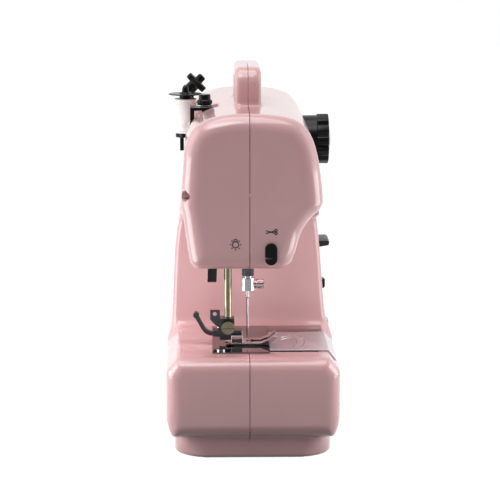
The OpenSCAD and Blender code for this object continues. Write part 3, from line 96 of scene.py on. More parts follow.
def pivot(name):
    """A point on a joint's axis, in mm."""
    return np.round(np.array(joint(name)["pos_m"]) / MM, 2)


# Places that the solids and joints give: the mouldings' ends, underside and top, the seam, the bed and its
# plate, the head's end face, and the axes of the pieces that stand in holes and recesses
LEFT, RIGHT = corners("front_housing")[:, 0]
FOOT, TOP = corners("front_housing")[:, 2]
SEAM = (corners("front_housing")[1, 1] + corners("rear_housing")[0, 1]) / 2
BED, PLATE = corners("needle_plate")[:, 2]
HEAD_X0 = corners("thread_cutter")[1, 0]
NEEDLE = corners("needle")[:, :2].mean(0)
PRESSER_Y = corners("presser_spring")[:, 1].mean()
LAMP = corners("lamp_lens")[:, :2].mean(0)
SPOOL = np.array([*pivot("spool_spin")[:2], corners("spool")[0, 2]])
SHAFT, DIAL = pivot("main_shaft_spin"), pivot("pattern_dial_turn")
WINDER, TENSION = pivot("winder_spin"), pivot("tension_knob_turn")

# Sizes of the mouldings that no solid's box gives: half the base's depth and its underside, the head's inner
# end and underside, the pillar's face, the arm's underside and top, its reach behind and in front, and the
# floor of the dial's pocket
HALF, BASE = 61.0, 16.0
HEAD_X1, HEAD_Z = -61.0, 135.5
PILLAR, ARM_Z, ARM_TOP = -11.0, 164.0, 244.0
REAR, FRONT = 50.2, -48.3
DIAL_BACK = -40.3


class SewingLook(bpy.types.PropertyGroup):
    """Sizes and colours of the machine's look"""

    housing_colour: bpy.props.StringProperty(
        name="Housing colour", description="sRGB colour of the pink moulding", default="#cfa2a3")
    seam_gap: bpy.props.FloatProperty(
        name="Seam gap", description="Open joint between the two mouldings", default=0.45 * MM,
        unit="LENGTH")
    wall: bpy.props.FloatProperty(
        name="Wall", description="Wall of the mouldings", default=3.4 * MM, unit="LENGTH")
    cell: bpy.props.FloatProperty(
        name="Cell", description="Grid on which the mouldings are worked out", default=1.65 * MM,
        unit="LENGTH")
    thread_pitch: bpy.props.FloatProperty(
        name="Thread pitch", description="Distance between turns of thread, drawn coarse enough to show",
        default=0.75 * MM, unit="LENGTH")
    light: bpy.props.FloatProperty(
        name="Light", description="Strength of the studio lamps", default=1.1, min=0.0)


def look():
    """The scene's settings."""
    return bpy.context.scene.sewing_look


# Materials


def linear(code):
    """sRGB hex to linear colour."""
    c = np.array([int(code[i:i + 2], 16) for i in (1, 3, 5)]) / 255
    c = np.where(c <= 0.04045, c / 12.92, ((c + 0.055) / 1.055) ** 2.4)
    return (*map(float, c), 1.0)


def add(tree, kind, values=None, links=None, **settings):
    """Adds a shader node, sets its options and socket values, and links its inputs."""
    n = tree.nodes.new("ShaderNode" + kind)
    for key, value in settings.items():
        setattr(n, key, value)
    for key, value in (values or {}).items():
        n.inputs[key].default_value = value
    for key, source in (links or {}).items():
        tree.links.new(source, n.inputs[key])
    return n


def fresh(blocks, name):
    """A new material or world and its emptied node tree."""
    block = blocks.new(name)
    block.use_nodes = True
    block.node_tree.nodes.clear()
    return block, block.node_tree


def finish(name, code, rough, metallic=0.0, vary=0.06, spots=40.0, grain=None, grain_mm=0.4, bump=0.05,
           rough_vary=0.25, **sockets):
    """A Principled finish: its colour drifts by vary over blotches spots mm wide, its roughness by
    rough_vary, and a fine grain (grain_mm wide, stretched by the three factors in grain) raises it."""
    if name in bpy.data.materials:
        return bpy.data.materials[name]
    m, t = fresh(bpy.data.materials, name)
    out = add(t, "OutputMaterial")
    at = add(t, "TexCoord").outputs["Object"]
    blot = add(t, "TexNoise", {"Scale": 1000.0 / spots, "Detail": 3.0}, {"Vector": at})
    base = np.array(linear(code)[:3])
    ramp = add(t, "ValToRGB", links={"Fac": blot.outputs["Fac"]})
    ends = ramp.color_ramp.elements
    for end, place, share in ((ends[0], 0.3, 1 - vary), (ends[1], 0.7, 1 + vary)):
        end.position = place
        end.color = (*np.clip(base * share, 0, 1), 1)
    stretch = add(t, "Mapping", {"Scale": grain or (1.0, 1.0, 1.0)}, {"Vector": at})
    fine = add(t, "TexNoise", {"Scale": 1000.0 / grain_mm, "Detail": 2.0},
               {"Vector": stretch.outputs["Vector"]})
    level = add(t, "MapRange", {"To Min": rough * (1 - rough_vary), "To Max": rough * (1 + rough_vary)},
                {"Value": fine.outputs["Fac"]})
    raised = add(t, "Bump", {"Strength": bump, "Distance": 0.2 * MM}, {"Height": fine.outputs["Fac"]})
    p = add(t, "BsdfPrincipled", {"Metallic": metallic, **sockets},
            {"Base Color": ramp.outputs["Color"], "Roughness": level.outputs["Result"],
             "Normal": raised.outputs["Normal"]})
    t.links.new(p.outputs["BSDF"], out.inputs["Surface"])
    return m


def finishes():
    """Every finish of the machine, by what the real surface is."""
    return {
        # Injection-moulded ABS, polished tool: even pink, a clear gloss, faint flow marks
        "pink": finish("moulded_pink_abs", look().housing_colour, 0.17, vary=0.03, spots=60, grain_mm=2.6,
                       bump=0.05, IOR=1.54, **{"Coat Weight": 0.35, "Coat Roughness": 0.05}),
        # Moulded black ABS, fine spark texture that holds the gloss back
        "black": finish("moulded_black_abs", "#0c0c0d", 0.24, vary=0.12, spots=9, grain_mm=0.9, bump=0.03,
                        IOR=1.5, **{"Specular IOR Level": 0.2}),
        # The same from a matter tool: a broad, weak gloss
        "soft_black": finish("satin_black_abs", "#141415", 0.4, vary=0.12, spots=9, grain_mm=0.8, bump=0.06,
                             IOR=1.52),
        # Pale grey ABS of the dial's cap: smooth and glossy
        "grey": finish("moulded_grey_abs", "#c9c9cc", 0.2, vary=0.03, spots=12, grain_mm=0.8, IOR=1.54),
        # White polystyrene and acetal: slightly warm, half gloss
        "white": finish("white_polystyrene", "#f1f0ec", 0.3, vary=0.02, spots=10, grain_mm=0.8, IOR=1.55),
        "acetal": finish("natural_acetal", "#e6e1d4", 0.42, vary=0.04, spots=12, grain_mm=0.7, IOR=1.48),
        # Bright nickel plate on pressed steel: near mirror with faint polishing lines
        "mirror": finish("polished_nickel_plate", "#857a7a", 0.06, 1.0, vary=0.05, spots=30,
                         grain=(0.06, 1, 1), grain_mm=2.0, bump=0.006),
        # Hard chrome on the presser foot: bright, clear reflections
        "chrome": finish("hard_chrome", "#c9c6c6", 0.06, 1.0, vary=0.05, spots=12, grain_mm=2.0, bump=0.01),
        # Brushed stainless strip: long fine lines along X spread the gloss
        "brushed": finish("brushed_stainless", "#dcd7dc", 0.42, 1.0, vary=0.03, spots=8, grain=(0.02, 1, 1),
                          grain_mm=1.1, bump=0.015, rough_vary=0.12),
        # Ground and turned steel: fine lines round or along the piece
        "steel": finish("ground_steel", "#bfc0c2", 0.2, 1.0, vary=0.08, spots=7, grain=(1, 1, 0.08),
                        grain_mm=0.5, bump=0.08),
        # Cold-drawn wire: darker, softly shining
        "spring": finish("drawn_spring_steel", "#8d9094", 0.3, 1.0, vary=0.1, spots=4),
        # Nickel plate gone yellow with age and oil
        "brassy": finish("yellowed_nickel", "#8d846f", 0.18, 1.0, vary=0.1, spots=5, grain_mm=0.5, bump=0.1),
        # Steel with a dark plate, a little rough
        "gunmetal": finish("dark_plated_steel", "#57585c", 0.3, 1.0, vary=0.12, spots=6, grain_mm=0.6,
                           bump=0.12),
        # Die-cast zinc: dull grey, slightly pitted skin
        "cast": finish("cast_zinc", "#9a9da1", 0.5, 1.0, vary=0.12, spots=14, grain_mm=1.2, bump=0.5),
        # Sintered bronze bushes: open, oily grain
        "bronze": finish("sintered_bronze", "#b08d57", 0.45, 1.0, vary=0.12, spots=5, grain_mm=0.5, bump=0.4),
        # Moulded rubber: dull black
        "rubber": finish("moulded_rubber", "#2b2b2e", 0.75, vary=0.1, spots=8, grain_mm=0.9, bump=0.4),
        # Circuit board under green lacquer
        "board": finish("lacquered_board", "#2f6b4a", 0.35, vary=0.1, spots=5, grain_mm=0.6),
        # Pad-printed ink: thin, half matt
        "ink": finish("pad_printed_ink", "#3d3436", 0.45, vary=0.1, spots=2, grain_mm=0.4),
        # Frosted acrylic lens and clear styrene bobbin: light passes through
        "lens": finish("frosted_lamp_lens", "#f2f3ee", 0.25, vary=0.02, spots=6, IOR=1.49,
                       **{"Transmission Weight": 0.5}),
        "clear": finish("clear_styrene", "#e8eef0", 0.12, vary=0.02, spots=8, IOR=1.59,
                        **{"Transmission Weight": 0.7}),
        # Spun polyester thread: dull white with a soft sheen
        "thread": finish("wound_white_thread", "#f7f6f3", 0.7, vary=0.05, spots=1.2, grain_mm=0.35, bump=0.4,
                         **{"Sheen Weight": 0.3}),
    }


# Meshes

# Points closer than this are one, and facets that turn by less than this are flat
JOIN = 0.002 * MM
FLAT = math.radians(1.5)


def placed(name, data):
    """A new object in the scene."""
    ob = bpy.data.objects.new(name, data)
    bpy.context.scene.collection.objects.link(ob)
    return ob


def dress(name, me, body, material, nodes, flat_angle):
    """Puts a mesh in the scene, smooth where faces turn by less than flat_angle, with its finish and body,
    and hides the nodes that it replaces."""
    me.materials.clear()
    me.materials.append(material)
    me.polygons.foreach_set("use_smooth", np.full(len(me.polygons), True))
    me.set_sharp_from_angle(angle=math.radians(flat_angle))
    ob = placed(name, me)
    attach(ob, body)
    if nodes:
        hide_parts(*nodes)
    return ob


def grid_faces(nu, nv, wrap_v=False):
    """Quads of an nu by nv grid of points, row after row. With wrap_v each row closes on itself."""
    i, j = np.meshgrid(np.arange(nu - 1), np.arange(nv if wrap_v else nv - 1), indexing="ij")
    i, j = i.ravel(), j.ravel()
    a, b = i * nv + j, i * nv + (j + 1) % nv
    return np.stack([a, b, b + nv, a + nv], 1)


def joined(*parts):
    """Several (points, faces) shapes as one."""
    verts, faces, n = [], [], 0
    for v, f in parts:
        v = np.asarray(v, float)
        verts.append(v)
        faces += [[int(i) + n for i in q] for q in f]
        n += len(v)
    return np.concatenate(verts), faces


def turned(profile, centre, axis=(0, 0, 1), n=64, ripple=None):
    """A profile of (radius, height) points turned about an axis through centre. ripple(angle, height,
    radius) is added to the radius. A profile that starts and ends on the axis closes in two poles."""
    profile = np.asarray(profile, float)
    w = np.asarray(axis, float) / np.linalg.norm(axis)
    u = np.cross([0, 0, 1.0], w)
    u = np.array([1.0, 0, 0]) if np.linalg.norm(u) < 1e-6 else u / np.linalg.norm(u)
    v = np.cross(w, u)
    a = np.arange(n) * 2 * np.pi / n
    r, h = np.repeat(profile[:, :1], n, 1), profile[:, 1:2]
    if ripple is not None:
        r = np.where(r > 1e-6, r + ripple(a[None, :], h, r), r)
    p = r[..., None] * (np.cos(a)[:, None] * u + np.sin(a)[:, None] * v) + h[..., None] * w
    return (p + np.asarray(centre, float)).reshape(-1, 3), grid_faces(len(profile), n, wrap_v=True)


def rounded(points, radius, n=4):
    """An open profile whose inner corners are rounded: each corner becomes n + 1 points of a quadratic
    arc that takes up at most 0.45 of either side."""
    p = np.asarray(points, float)
    out = [p[0]]
    for a, b, c in zip(p[:-2], p[1:-1], p[2:]):
        la, lc = np.linalg.norm(a - b), np.linalg.norm(c - b)
        r = min(radius, la * 0.45, lc * 0.45)
        s, e = b + (a - b) / la * r, b + (c - b) / lc * r
        t = np.linspace(0, 1, n + 1)[:, None]
        out += list((1 - t) ** 2 * s + 2 * t * (1 - t) * b + t ** 2 * e)
    out.append(p[-1])
    return np.array(out)


def arc(centre, radius, start, stop, n=24):
    """Points along an arc in a plane, angles in degrees."""
    a = np.radians(np.linspace(start, stop, n))
    return np.asarray(centre) + radius * np.stack([np.cos(a), np.sin(a)], 1)


def round_rect(x0, x1, y0, y1, r):
    """A rectangle's outline with corners of radius r, counter-clockwise."""
    middles = ((x1 - r, y1 - r, 0), (x0 + r, y1 - r, 90), (x0 + r, y0 + r, 180), (x1 - r, y0 + r, 270))
    return np.concatenate([arc((x, y), r, a, a + 90, 6) for x, y, a in middles])


def slab(outline, low, high, edge, n=3):
    """A plate with an outline (x, y) and edges rounded to edge: the outline is drawn in along its normals
    over a quarter circle at the top and the bottom, and both ends close with one face."""
    p = np.asarray(outline, float)
    along = np.roll(p, -1, 0) - np.roll(p, 1, 0)
    inward = np.stack([-along[:, 1], along[:, 0]], 1) / np.linalg.norm(along, axis=1, keepdims=True)
    a = np.radians(np.linspace(0, 90, n + 1))
    draw = edge * np.concatenate([(1 - np.sin(a)), (1 - np.sin(a))[::-1]])
    z = np.concatenate([low + edge * (1 - np.cos(a)), high - edge * (1 - np.cos(a))[::-1]])
    rings = [np.column_stack([p + inward * d, np.full(len(p), h)]) for d, h in zip(draw, z)]
    m, last = len(p), len(p) * (len(z) - 1)
    faces = [list(q)[::-1] for q in grid_faces(len(z), m, wrap_v=True)]
    return np.concatenate(rings), faces + [list(range(m))[::-1], list(range(last, last + m))]


def stroke(path, width, x, thick=0.12):
    """A flat line on a face at x: a rectangle carried along points (y, z), thick towards -X and closed at
    its ends."""
    p = np.asarray(path, float)
    along = np.gradient(p, axis=0)
    side = np.stack([-along[:, 1], along[:, 0]], 1)
    side *= width / 2 / np.linalg.norm(side, axis=1, keepdims=True)
    ring = np.stack([p - side, p + side, p + side, p - side], 1)
    depth = np.broadcast_to([x, x, x - thick, x - thick], ring.shape[:2])
    v = np.concatenate([depth[..., None], ring], -1).reshape(-1, 3)
    faces = [list(q) for q in grid_faces(len(p), 4, wrap_v=True)]
    end = 4 * len(p) - 4
    return v, faces + [[3, 2, 1, 0], [end, end + 1, end + 2, end + 3]]


def merged(name, shape, material, like=None, instead=False):
    """A piece from (points in mm, faces), with coincident points joined and the faces turned outwards. It has
    the body of the solid that it is like, and stands instead of it where told."""
    verts, faces = shape
    me = bpy.data.meshes.new(name)
    me.from_pydata(np.asarray(verts, float) * MM, [], [list(map(int, f)) for f in faces])
    bm = bmesh.new()
    bm.from_mesh(me)
    bmesh.ops.remove_doubles(bm, verts=bm.verts, dist=JOIN)
    bmesh.ops.recalc_face_normals(bm, faces=bm.faces)
    bm.to_mesh(me)
    bm.free()
    body, slot = (body_of(like), slot_of(like)) if like else ("machine", None)
    return dress(name, me, body, material, (like,) if instead else (), 40)


def body_of(node):
    """The moving body that carries a solid."""
    return next(b for b, nodes in frame["record"]["behaviour"]["bodies"].items() if node in nodes)


def slot_of(node):
    """The record's material slot of a solid."""
    return next(s["material_slot"] for s in frame["record"]["subparts"] if s["node"] == node)


def softened(node, name, material, bevel=0.3, segments=2, angle=35, floor=None):
    """A copy of a solid with its edges rounded off: points joined, flat facets merged, then a bevel. What
    lies below floor (mm) is trimmed away and the cut closed."""
    me = frame["nodes"][node].data.copy()
    me.name = name
    bm = bmesh.new()
    bm.from_mesh(me)
    bmesh.ops.remove_doubles(bm, verts=bm.verts, dist=JOIN)
    if floor is not None:
        every = bm.verts[:] + bm.edges[:] + bm.faces[:]
        cut = bmesh.ops.bisect_plane(bm, geom=every, plane_co=(0, 0, floor * MM), plane_no=(0, 0, -1),
                                     clear_outer=True)["geom_cut"]
        bmesh.ops.holes_fill(bm, edges=[e for e in cut if isinstance(e, bmesh.types.BMEdge)])
    bmesh.ops.dissolve_limit(bm, angle_limit=FLAT, verts=bm.verts, edges=bm.edges)
    bm.to_mesh(me)
    bm.free()
    ob = dress(name, me, body_of(node), material, (node,), angle)
    mod = ob.modifiers.new("edges", "BEVEL")
    mod.width, mod.segments = bevel * MM, segments
    mod.limit_method, mod.angle_limit = "ANGLE", math.radians(angle)
    return ob


# Housing: a distance field of the moulding's outlines, on a grid, with its surface taken from it


def spline(points, n):
    """A smooth curve through points, n steps a span: each span is the cubic of its four nearest points."""
    p = np.asarray(points, float)
    q = np.concatenate([p[:1], p, p[-1:]])
    a, b, c, d = (q[i:len(q) - 3 + i, None] for i in range(4))
    t = (np.arange(n) / n)[None, :, None]
    s = 0.5 * (2 * b + (c - a) * t + (2 * a - 5 * b + 4 * c - d) * t ** 2 + (3 * b - a - 3 * c + d) * t ** 3)
    return np.concatenate([s.reshape(-1, 2), p[-1:]])


class Outline:
    """Signed distance to a closed outline, kept as a table and read between its points."""

    def __init__(self, points, lo, hi, step=0.5):
        """The table holds the least distance to the outline's edges, negative inside."""
        p = np.asarray(points, float)
        self.lo, self.step = np.asarray(lo, float), step
        self.shape = np.ceil((np.asarray(hi) - self.lo) / step).astype(int) + 1
        axes = (self.lo[k] + step * np.arange(self.shape[k]) for k in (0, 1))
        g = np.stack(np.meshgrid(*axes, indexing="ij"), -1)
        best = np.full(g.shape[:2], np.inf)
        inside = np.zeros(g.shape[:2], bool)
        for a, b in zip(p, np.roll(p, -1, 0)):
            e = b - a
            t = np.clip(((g - a) @ e) / max(e @ e, 1e-12), 0, 1)
            best = np.minimum(best, ((g - a - t[..., None] * e) ** 2).sum(-1))
            with np.errstate(divide="ignore", invalid="ignore"):
                cross = (a[1] > g[..., 1]) != (b[1] > g[..., 1])
                inside ^= cross & (g[..., 0] < e[0] * (g[..., 1] - a[1]) / e[1] + a[0])
        self.table = np.where(inside, -1, 1) * np.sqrt(best)

    def __call__(self, u, v):
        """Distance at (u, v), weighed from the four nearest points of the table."""
        i = np.clip((u - self.lo[0]) / self.step, 0, self.shape[0] - 1.001)
        j = np.clip((v - self.lo[1]) / self.step, 0, self.shape[1] - 1.001)
        a, b = i.astype(int), j.astype(int)
        s, t = i - a, j - b
        f = self.table
        near = f[a, b] * (1 - s) + f[a + 1, b] * s
        far = f[a, b + 1] * (1 - s) + f[a + 1, b + 1] * s
        return near * (1 - t) + far * t


def round_and(a, b, r):
    """Both of two solids, with the edge between them rounded to radius r."""
    p, q = a + r, b + r
    return np.minimum(np.maximum(p, q), 0) + np.hypot(np.maximum(p, 0), np.maximum(q, 0)) - r


def soft_min(a, b, k):
    """Either of two solids, with a fillet about k wide where they meet."""
    h = np.maximum(k - np.abs(a - b), 0) / np.maximum(k, 1e-9)
    return np.minimum(a, b) - h * h * k * 0.25


def soft_max(a, b, k):
    """Both of two solids, with the edge between them eased over about k."""
    return -soft_min(-a, -b, k)


def box_field(p, lo, hi, r=0.0):
    """Distance to a box with edges rounded to r."""
    lo, hi = np.asarray(lo, float), np.asarray(hi, float)
    q = np.abs(p - (lo + hi) / 2) - (hi - lo) / 2 + r
    return np.linalg.norm(np.maximum(q, 0), axis=-1) + np.minimum(q.max(-1), 0) - r


def rod_field(p, axis, centre, radius, lo, hi):
    """Distance to a cylinder along axis 0, 1 or 2."""
    o = [k for k in range(3) if k != axis]
    d = np.hypot(p[..., o[0]] - centre[0], p[..., o[1]] - centre[1]) - radius
    return np.maximum(d, np.maximum(lo - p[..., axis], p[..., axis] - hi))


class Housing:
    """The moulding as fields, each a signed distance in mm: outside, handle, recesses, openings and wall."""

    # Rounding of the ends of head, arm and base; cove and edge of the throat; fillet between bed and pillar
    head_round, arm_round, base_round = 12.0, 13.0, 10.0
    throat_round, throat_edge, bed_fillet = 18.0, 5.0, 9.0
    # The arm starts inside the head, and their fillet fades out between these heights
    arm_x0, arm_short = -73.0, 0.6
    blend, blend_z = 6.0, (172.0, 186.0)
    # Plinth: step in from the base's ends, half depth, corners, foot and joint with the base
    plinth_in, plinth_half, plinth_round, plinth_foot, plinth_joint = 5.0, 55.5, 26.0, 2.0, 0.8
    # Handle: middle, half length, thickness of the bar, half width
    handle_x, handle_half, handle_bar, handle_side = -21.5, 42.0, 11.0, 9.5
    # Screws that draw the halves together from behind: x, z and the depth of the head's seat
    screws = [
        (HEAD_X0 + 5, HEAD_Z + 52, REAR - 10),
        (RIGHT - 34, ARM_TOP - 17, REAR - 12),
        (RIGHT - 58, BED + 58, REAR - 4),
        (LEFT + 16, BASE + 24, HALF - 10),
        (RIGHT - 93, BASE + 41, HALF - 10),
        (PILLAR + 14, ARM_Z + 6, REAR - 8),
    ]
    screw_r, post_r = 3.5, 5.0
    # The recesses and holes are cut to here, clear of the mouldings
    behind = 80.0

    def __init__(self):
        """Outlines and holes are worked out once."""
        self.outlines()
        self.holes()

    def outlines(self):
        """Tables of the outlines in Y and Z that head, arm and base carry along X, and of the throat."""
        arch = [[REAR, ARM_TOP - 62], [REAR - 1.4, ARM_TOP - 40], [REAR - 3.2, ARM_TOP - 23],
                [REAR - 10, ARM_TOP - 9.5], [REAR - 24, ARM_TOP - 2.4], [SEAM, ARM_TOP],
                [FRONT + 23, ARM_TOP - 3.2], [FRONT + 10.5, ARM_TOP - 12], [FRONT + 3.8, ARM_TOP - 29],
                [FRONT, ARM_TOP - 56]]
        head = [[SEAM + 35.8, HEAD_Z], [REAR - 7, HEAD_Z + 3.5], [REAR - 4.6, HEAD_Z + 15],
                [REAR - 1.5, HEAD_Z + 37], *arch,
                [FRONT + 1.2, HEAD_Z + 43], [FRONT + 8.8, HEAD_Z + 35], [FRONT + 15.3, HEAD_Z + 24.5],
                [FRONT + 19, HEAD_Z + 12], [FRONT + 22.5, HEAD_Z + 4], [FRONT + 29, HEAD_Z]]
        side = HALF - 2.5
        pillar = [[side, BED - 14], [side, BED - 2], [HALF - 2.6, BED + 10], [HALF - 5, BED + 60],
                  [REAR + 1.4, BED + 90], *arch,
                  [FRONT + 0.1, BED + 97], [8.8 - HALF, BED + 60], [5 - HALF, BED + 12],
                  [-side, BED - 2], [-side, BED - 14]]
        past, steps = 5, 8
        lo, hi = (-HALF - past, -2), (HALF + past, TOP + past)
        self.head = Outline(spline(head, steps), lo, hi)
        self.pillar = Outline(spline(pillar, steps), lo, hi)
        # Base: lower edges are quarter ellipses, upper edges chamfers
        a = np.radians(np.linspace(0, 90, 13))
        round_y, round_z, chamfer_y, chamfer_z = 6, 18, 7.5, 9.5
        low = np.stack([HALF - round_y * (1 - np.sin(a)), BASE + round_z * (1 - np.cos(a))], 1)
        top = np.array([[HALF, BED - chamfer_z], [HALF - chamfer_y, BED]])
        right = np.concatenate([low, top])
        self.base = Outline(np.concatenate([right, (right * [-1, 1])[::-1]]), lo, hi)
        # Throat in X and Z: open to the left, with a cove where arm and pillar meet
        a = np.radians(np.linspace(0, 90, 12))
        r, far, floor = self.throat_round, LEFT + 2, BED - 20
        cove = np.stack([PILLAR - r + r * np.cos(a), ARM_Z - r + r * np.sin(a)], 1)
        round_throat = np.concatenate([[[far, floor], [PILLAR, floor]], cove, [[far, ARM_Z]]])
        self.throat = Outline(round_throat, (LEFT - 4, 0), (RIGHT + past, TOP + past))

    def holes(self):
        """Lists of the round holes (axis, centre, radius, reach) and of the square ones (two corners)."""
        under, right = (HEAD_Z - 5.5, HEAD_Z + 5.5), (RIGHT - 11, RIGHT + 9)
        jack, flange = corners("sockets"), 5.0
        self.rods = [
            (2, NEEDLE, 4.45, *under),
            (2, (NEEDLE[0], PRESSER_Y), 4.3, *under),
            (2, LAMP, 4.6, *under),
            (0, SHAFT[1:], 7.0, *right),
            (0, (jack[1, 1] - flange, jack[1, 2] - flange), 4.6, *right),
            (0, (jack[0, 1] + flange, jack[1, 2] - flange), 4.6, *right),
            (1, DIAL[[0, 2]], 4.2, -46, -30),
            (2, TENSION[:2], 2.2, 214, 246)]
        self.rods += [(1, (x, z), self.screw_r, seat, self.behind) for x, z, seat in self.screws]
        # Presser lifter's slot under the head, and the opening of the bed under its plates
        self.boxes = [((NEEDLE[0] - 5, 21.8, HEAD_Z - 5.5), (NEEDLE[0] + 5, 39.3, HEAD_Z + 9)),
                      ((NEEDLE[0] - 26, -47, BED - 7), (NEEDLE[0] + 26, 15.3, BED + 3))]
        # Slots round a control: its solid, front, back, and play at the sides, below and above
        for node, y0, y1, side, below, above in (
                ("reverse_lever", -62, -37.5, 1.0, 1.5, 0.6), ("power_rocker", -70, -49, 0.3, 1.2, 1.1),
                ("speed_slider", -62, -49, 7.5, -1.6, -1.6), ("take_up_lever", -52, -36.3, 1.6, 23, 7.6)):
            a, b = corners(node)
            self.boxes.append(((a[0] - side, y0, a[2] - below), (b[0] + side, y1, b[2] + above)))

    def body(self, p):
        """Outside of the moulding without its handle: head and arm carry their outlines along X with
        rounded ends, the throat is cut out, and base and plinth join with fillets."""
        x, y, z = p[..., 0], p[..., 1], p[..., 2]
        head = np.maximum(round_and(self.head(y, z), HEAD_X0 - x, self.head_round), x - HEAD_X1)
        arm = round_and(self.pillar(y, z), x - (RIGHT - self.arm_short), self.arm_round)
        arm = soft_max(np.maximum(arm, self.arm_x0 - x), -self.throat(x, z), self.throat_edge)
        low, high = self.blend_z
        upper = soft_min(head, arm, self.blend * np.clip((high - z) / (high - low), 0, 1))
        base = round_and(self.base(y, z), np.maximum(LEFT - x, x - RIGHT), self.base_round)
        ends = (LEFT + self.plinth_in, -self.plinth_half), (RIGHT - self.plinth_in, self.plinth_half)
        foot = round_and(box_field(p[..., :2], *ends, self.plinth_round), FOOT - z, self.plinth_foot)
        lower = soft_min(base, np.maximum(foot, z - BASE - 2), self.plinth_joint)
        return soft_min(upper, lower, self.bed_fillet)

    def handle(self, p):
        """Carrying handle: a rounded bar with an opening under it, with rounded edges."""
        q, bar = p[..., [0, 2]], self.handle_bar
        x0, x1 = self.handle_x - self.handle_half, self.handle_x + self.handle_half
        outer = box_field(q, (x0, ARM_TOP - 34), (x1, TOP), 13.0)
        inner = box_field(q, (x0 + bar, ARM_TOP - 20), (x1 - bar, TOP - bar), 7.0)
        across = np.abs(p[..., 1] - SEAM) - self.handle_side
        grip = round_and(soft_max(outer, -inner, 3.0), across, 4.0)
        return np.maximum(grip, ARM_TOP - 6 - p[..., 2])

    def shelves(self, p):
        """Recesses in the rear shoulder for spool, tension and winder, and the dial's pocket in front."""
        (sx, sy, sz), side = SPOOL, 15.2
        spool = box_field(p, (sx - side, sy - 9.9, sz - 3.2), (sx + side, self.behind, 262), 2.0)
        wx, side = WINDER[0], 8.0
        winder = box_field(p, (wx - side, 38.2, 228), (wx + side, self.behind, 264), 1.6)
        # Flat of the tension unit: a plane that falls backwards from its front edge
        x, y, z = p[..., 0], p[..., 1], p[..., 2]
        front, height, fall, side = 24.2, 238.4, 0.775, 13.0
        flat = (height - fall * (y - front) - z) / math.hypot(1, fall)
        flat = np.maximum(flat, np.maximum(front - y, np.abs(x - TENSION[0]) - side))
        dial = rod_field(p, 1, DIAL[[0, 2]], 19.7, -self.behind, DIAL_BACK)
        return np.minimum.reduce([spool, winder, flat, dial])

    def openings(self, p):
        """Every hole through the wall."""
        rods = [rod_field(p, *rod) for rod in self.rods]
        return np.minimum.reduce(rods + [box_field(p, *box) for box in self.boxes])

    def shell(self, p):
        """Wall of the moulding with its handle and the screw posts behind the recesses."""
        skin = soft_max(self.body(p), -self.shelves(p), 1.4)
        outer = soft_min(skin, self.handle(p), 2.5)
        wall = np.maximum(outer, -(skin + look().wall / MM))
        posts = [rod_field(p, 1, (x, z), self.post_r, seat - 3, seat + 30) for x, z, seat in self.screws]
        return np.minimum(wall, np.maximum(np.minimum.reduce(posts), skin + 0.4))


def gradient(f, p, h=0.05):
    """Slope of a field by differences."""
    e = np.eye(3) * h
    return np.stack([f(p + e[k]) - f(p - e[k]) for k in range(3)], -1) / (2 * h)


def net(field, lo, step, shape, slices=12):
    """Surface of a field on a grid: one point in each cell that the surface crosses, at the mean of the
    crossings on its edges, and one quad for each grid edge that it crosses. The field is worked out a few
    slices at a time."""
    axes = [lo[k] + step * np.arange(shape[k]) for k in range(3)]
    d = np.empty(shape, np.float32)
    for i in range(0, shape[0], slices):
        g = np.stack(np.meshgrid(axes[0][i:i + slices], axes[1], axes[2], indexing="ij"), -1)
        d[i:i + slices] = field(g)
    s = d < 0
    n = [k - 1 for k in shape]
    corner = [(a, b, c) for a in (0, 1) for b in (0, 1) for c in (0, 1)]
    count = sum(s[a:n[0] + a, b:n[1] + b, c:n[2] + c].astype(np.int8) for a, b, c in corner)
    cell = np.argwhere((count > 0) & (count < 8))
    index = np.full(n, -1, np.int64)
    index[tuple(cell.T)] = np.arange(len(cell))
    total, hits = np.zeros((len(cell), 3)), np.zeros((len(cell), 1))
    for a in corner:
        for k in range(3):
            if a[k]:
                continue
            b = list(a)
            b[k] = 1
            u, v = d[tuple((cell + a).T)], d[tuple((cell + b).T)]
            hit = (u < 0) != (v < 0)
            t = np.where(hit, u / np.where(hit, u - v, 1), 0)
            q = cell + np.asarray(a, float)
            q[:, k] += t
            total += q * hit[:, None]
            hits += hit[:, None]
    verts = np.asarray(lo) + step * total / hits
    quads = []
    for k in range(3):
        u, v = (k + 1) % 3, (k + 2) % 3
        cut = [slice(1, m) for m in n]
        cut[k] = slice(0, n[k])
        far = list(cut)
        far[k] = slice(1, n[k] + 1)
        a, b = s[tuple(cut)], s[tuple(far)]
        at = np.argwhere(a != b) + [0 if m == k else 1 for m in range(3)]
        out = a[a != b]
        e, f = np.eye(3, dtype=int)[u], np.eye(3, dtype=int)[v]
        q = np.stack([index[tuple(c.T)] for c in (at - e - f, at - f, at, at - e)], 1)
        q[~out] = q[~out][:, ::-1]
        quads.append(q)
    return verts, np.concatenate(quads)


def settle(p, f, steps=3, limit=0.7, least=0.2):
    """Moves points along the field's slope on to its surface: each step is distance over slope, at most
    limit mm, with the squared slope taken as least or more."""
    for _ in range(steps):
        g = gradient(f, p)
        move = f(p)[:, None] * g / np.maximum((g * g).sum(-1, keepdims=True), least)
        p = p - np.clip(move, -limit, limit)
    return p


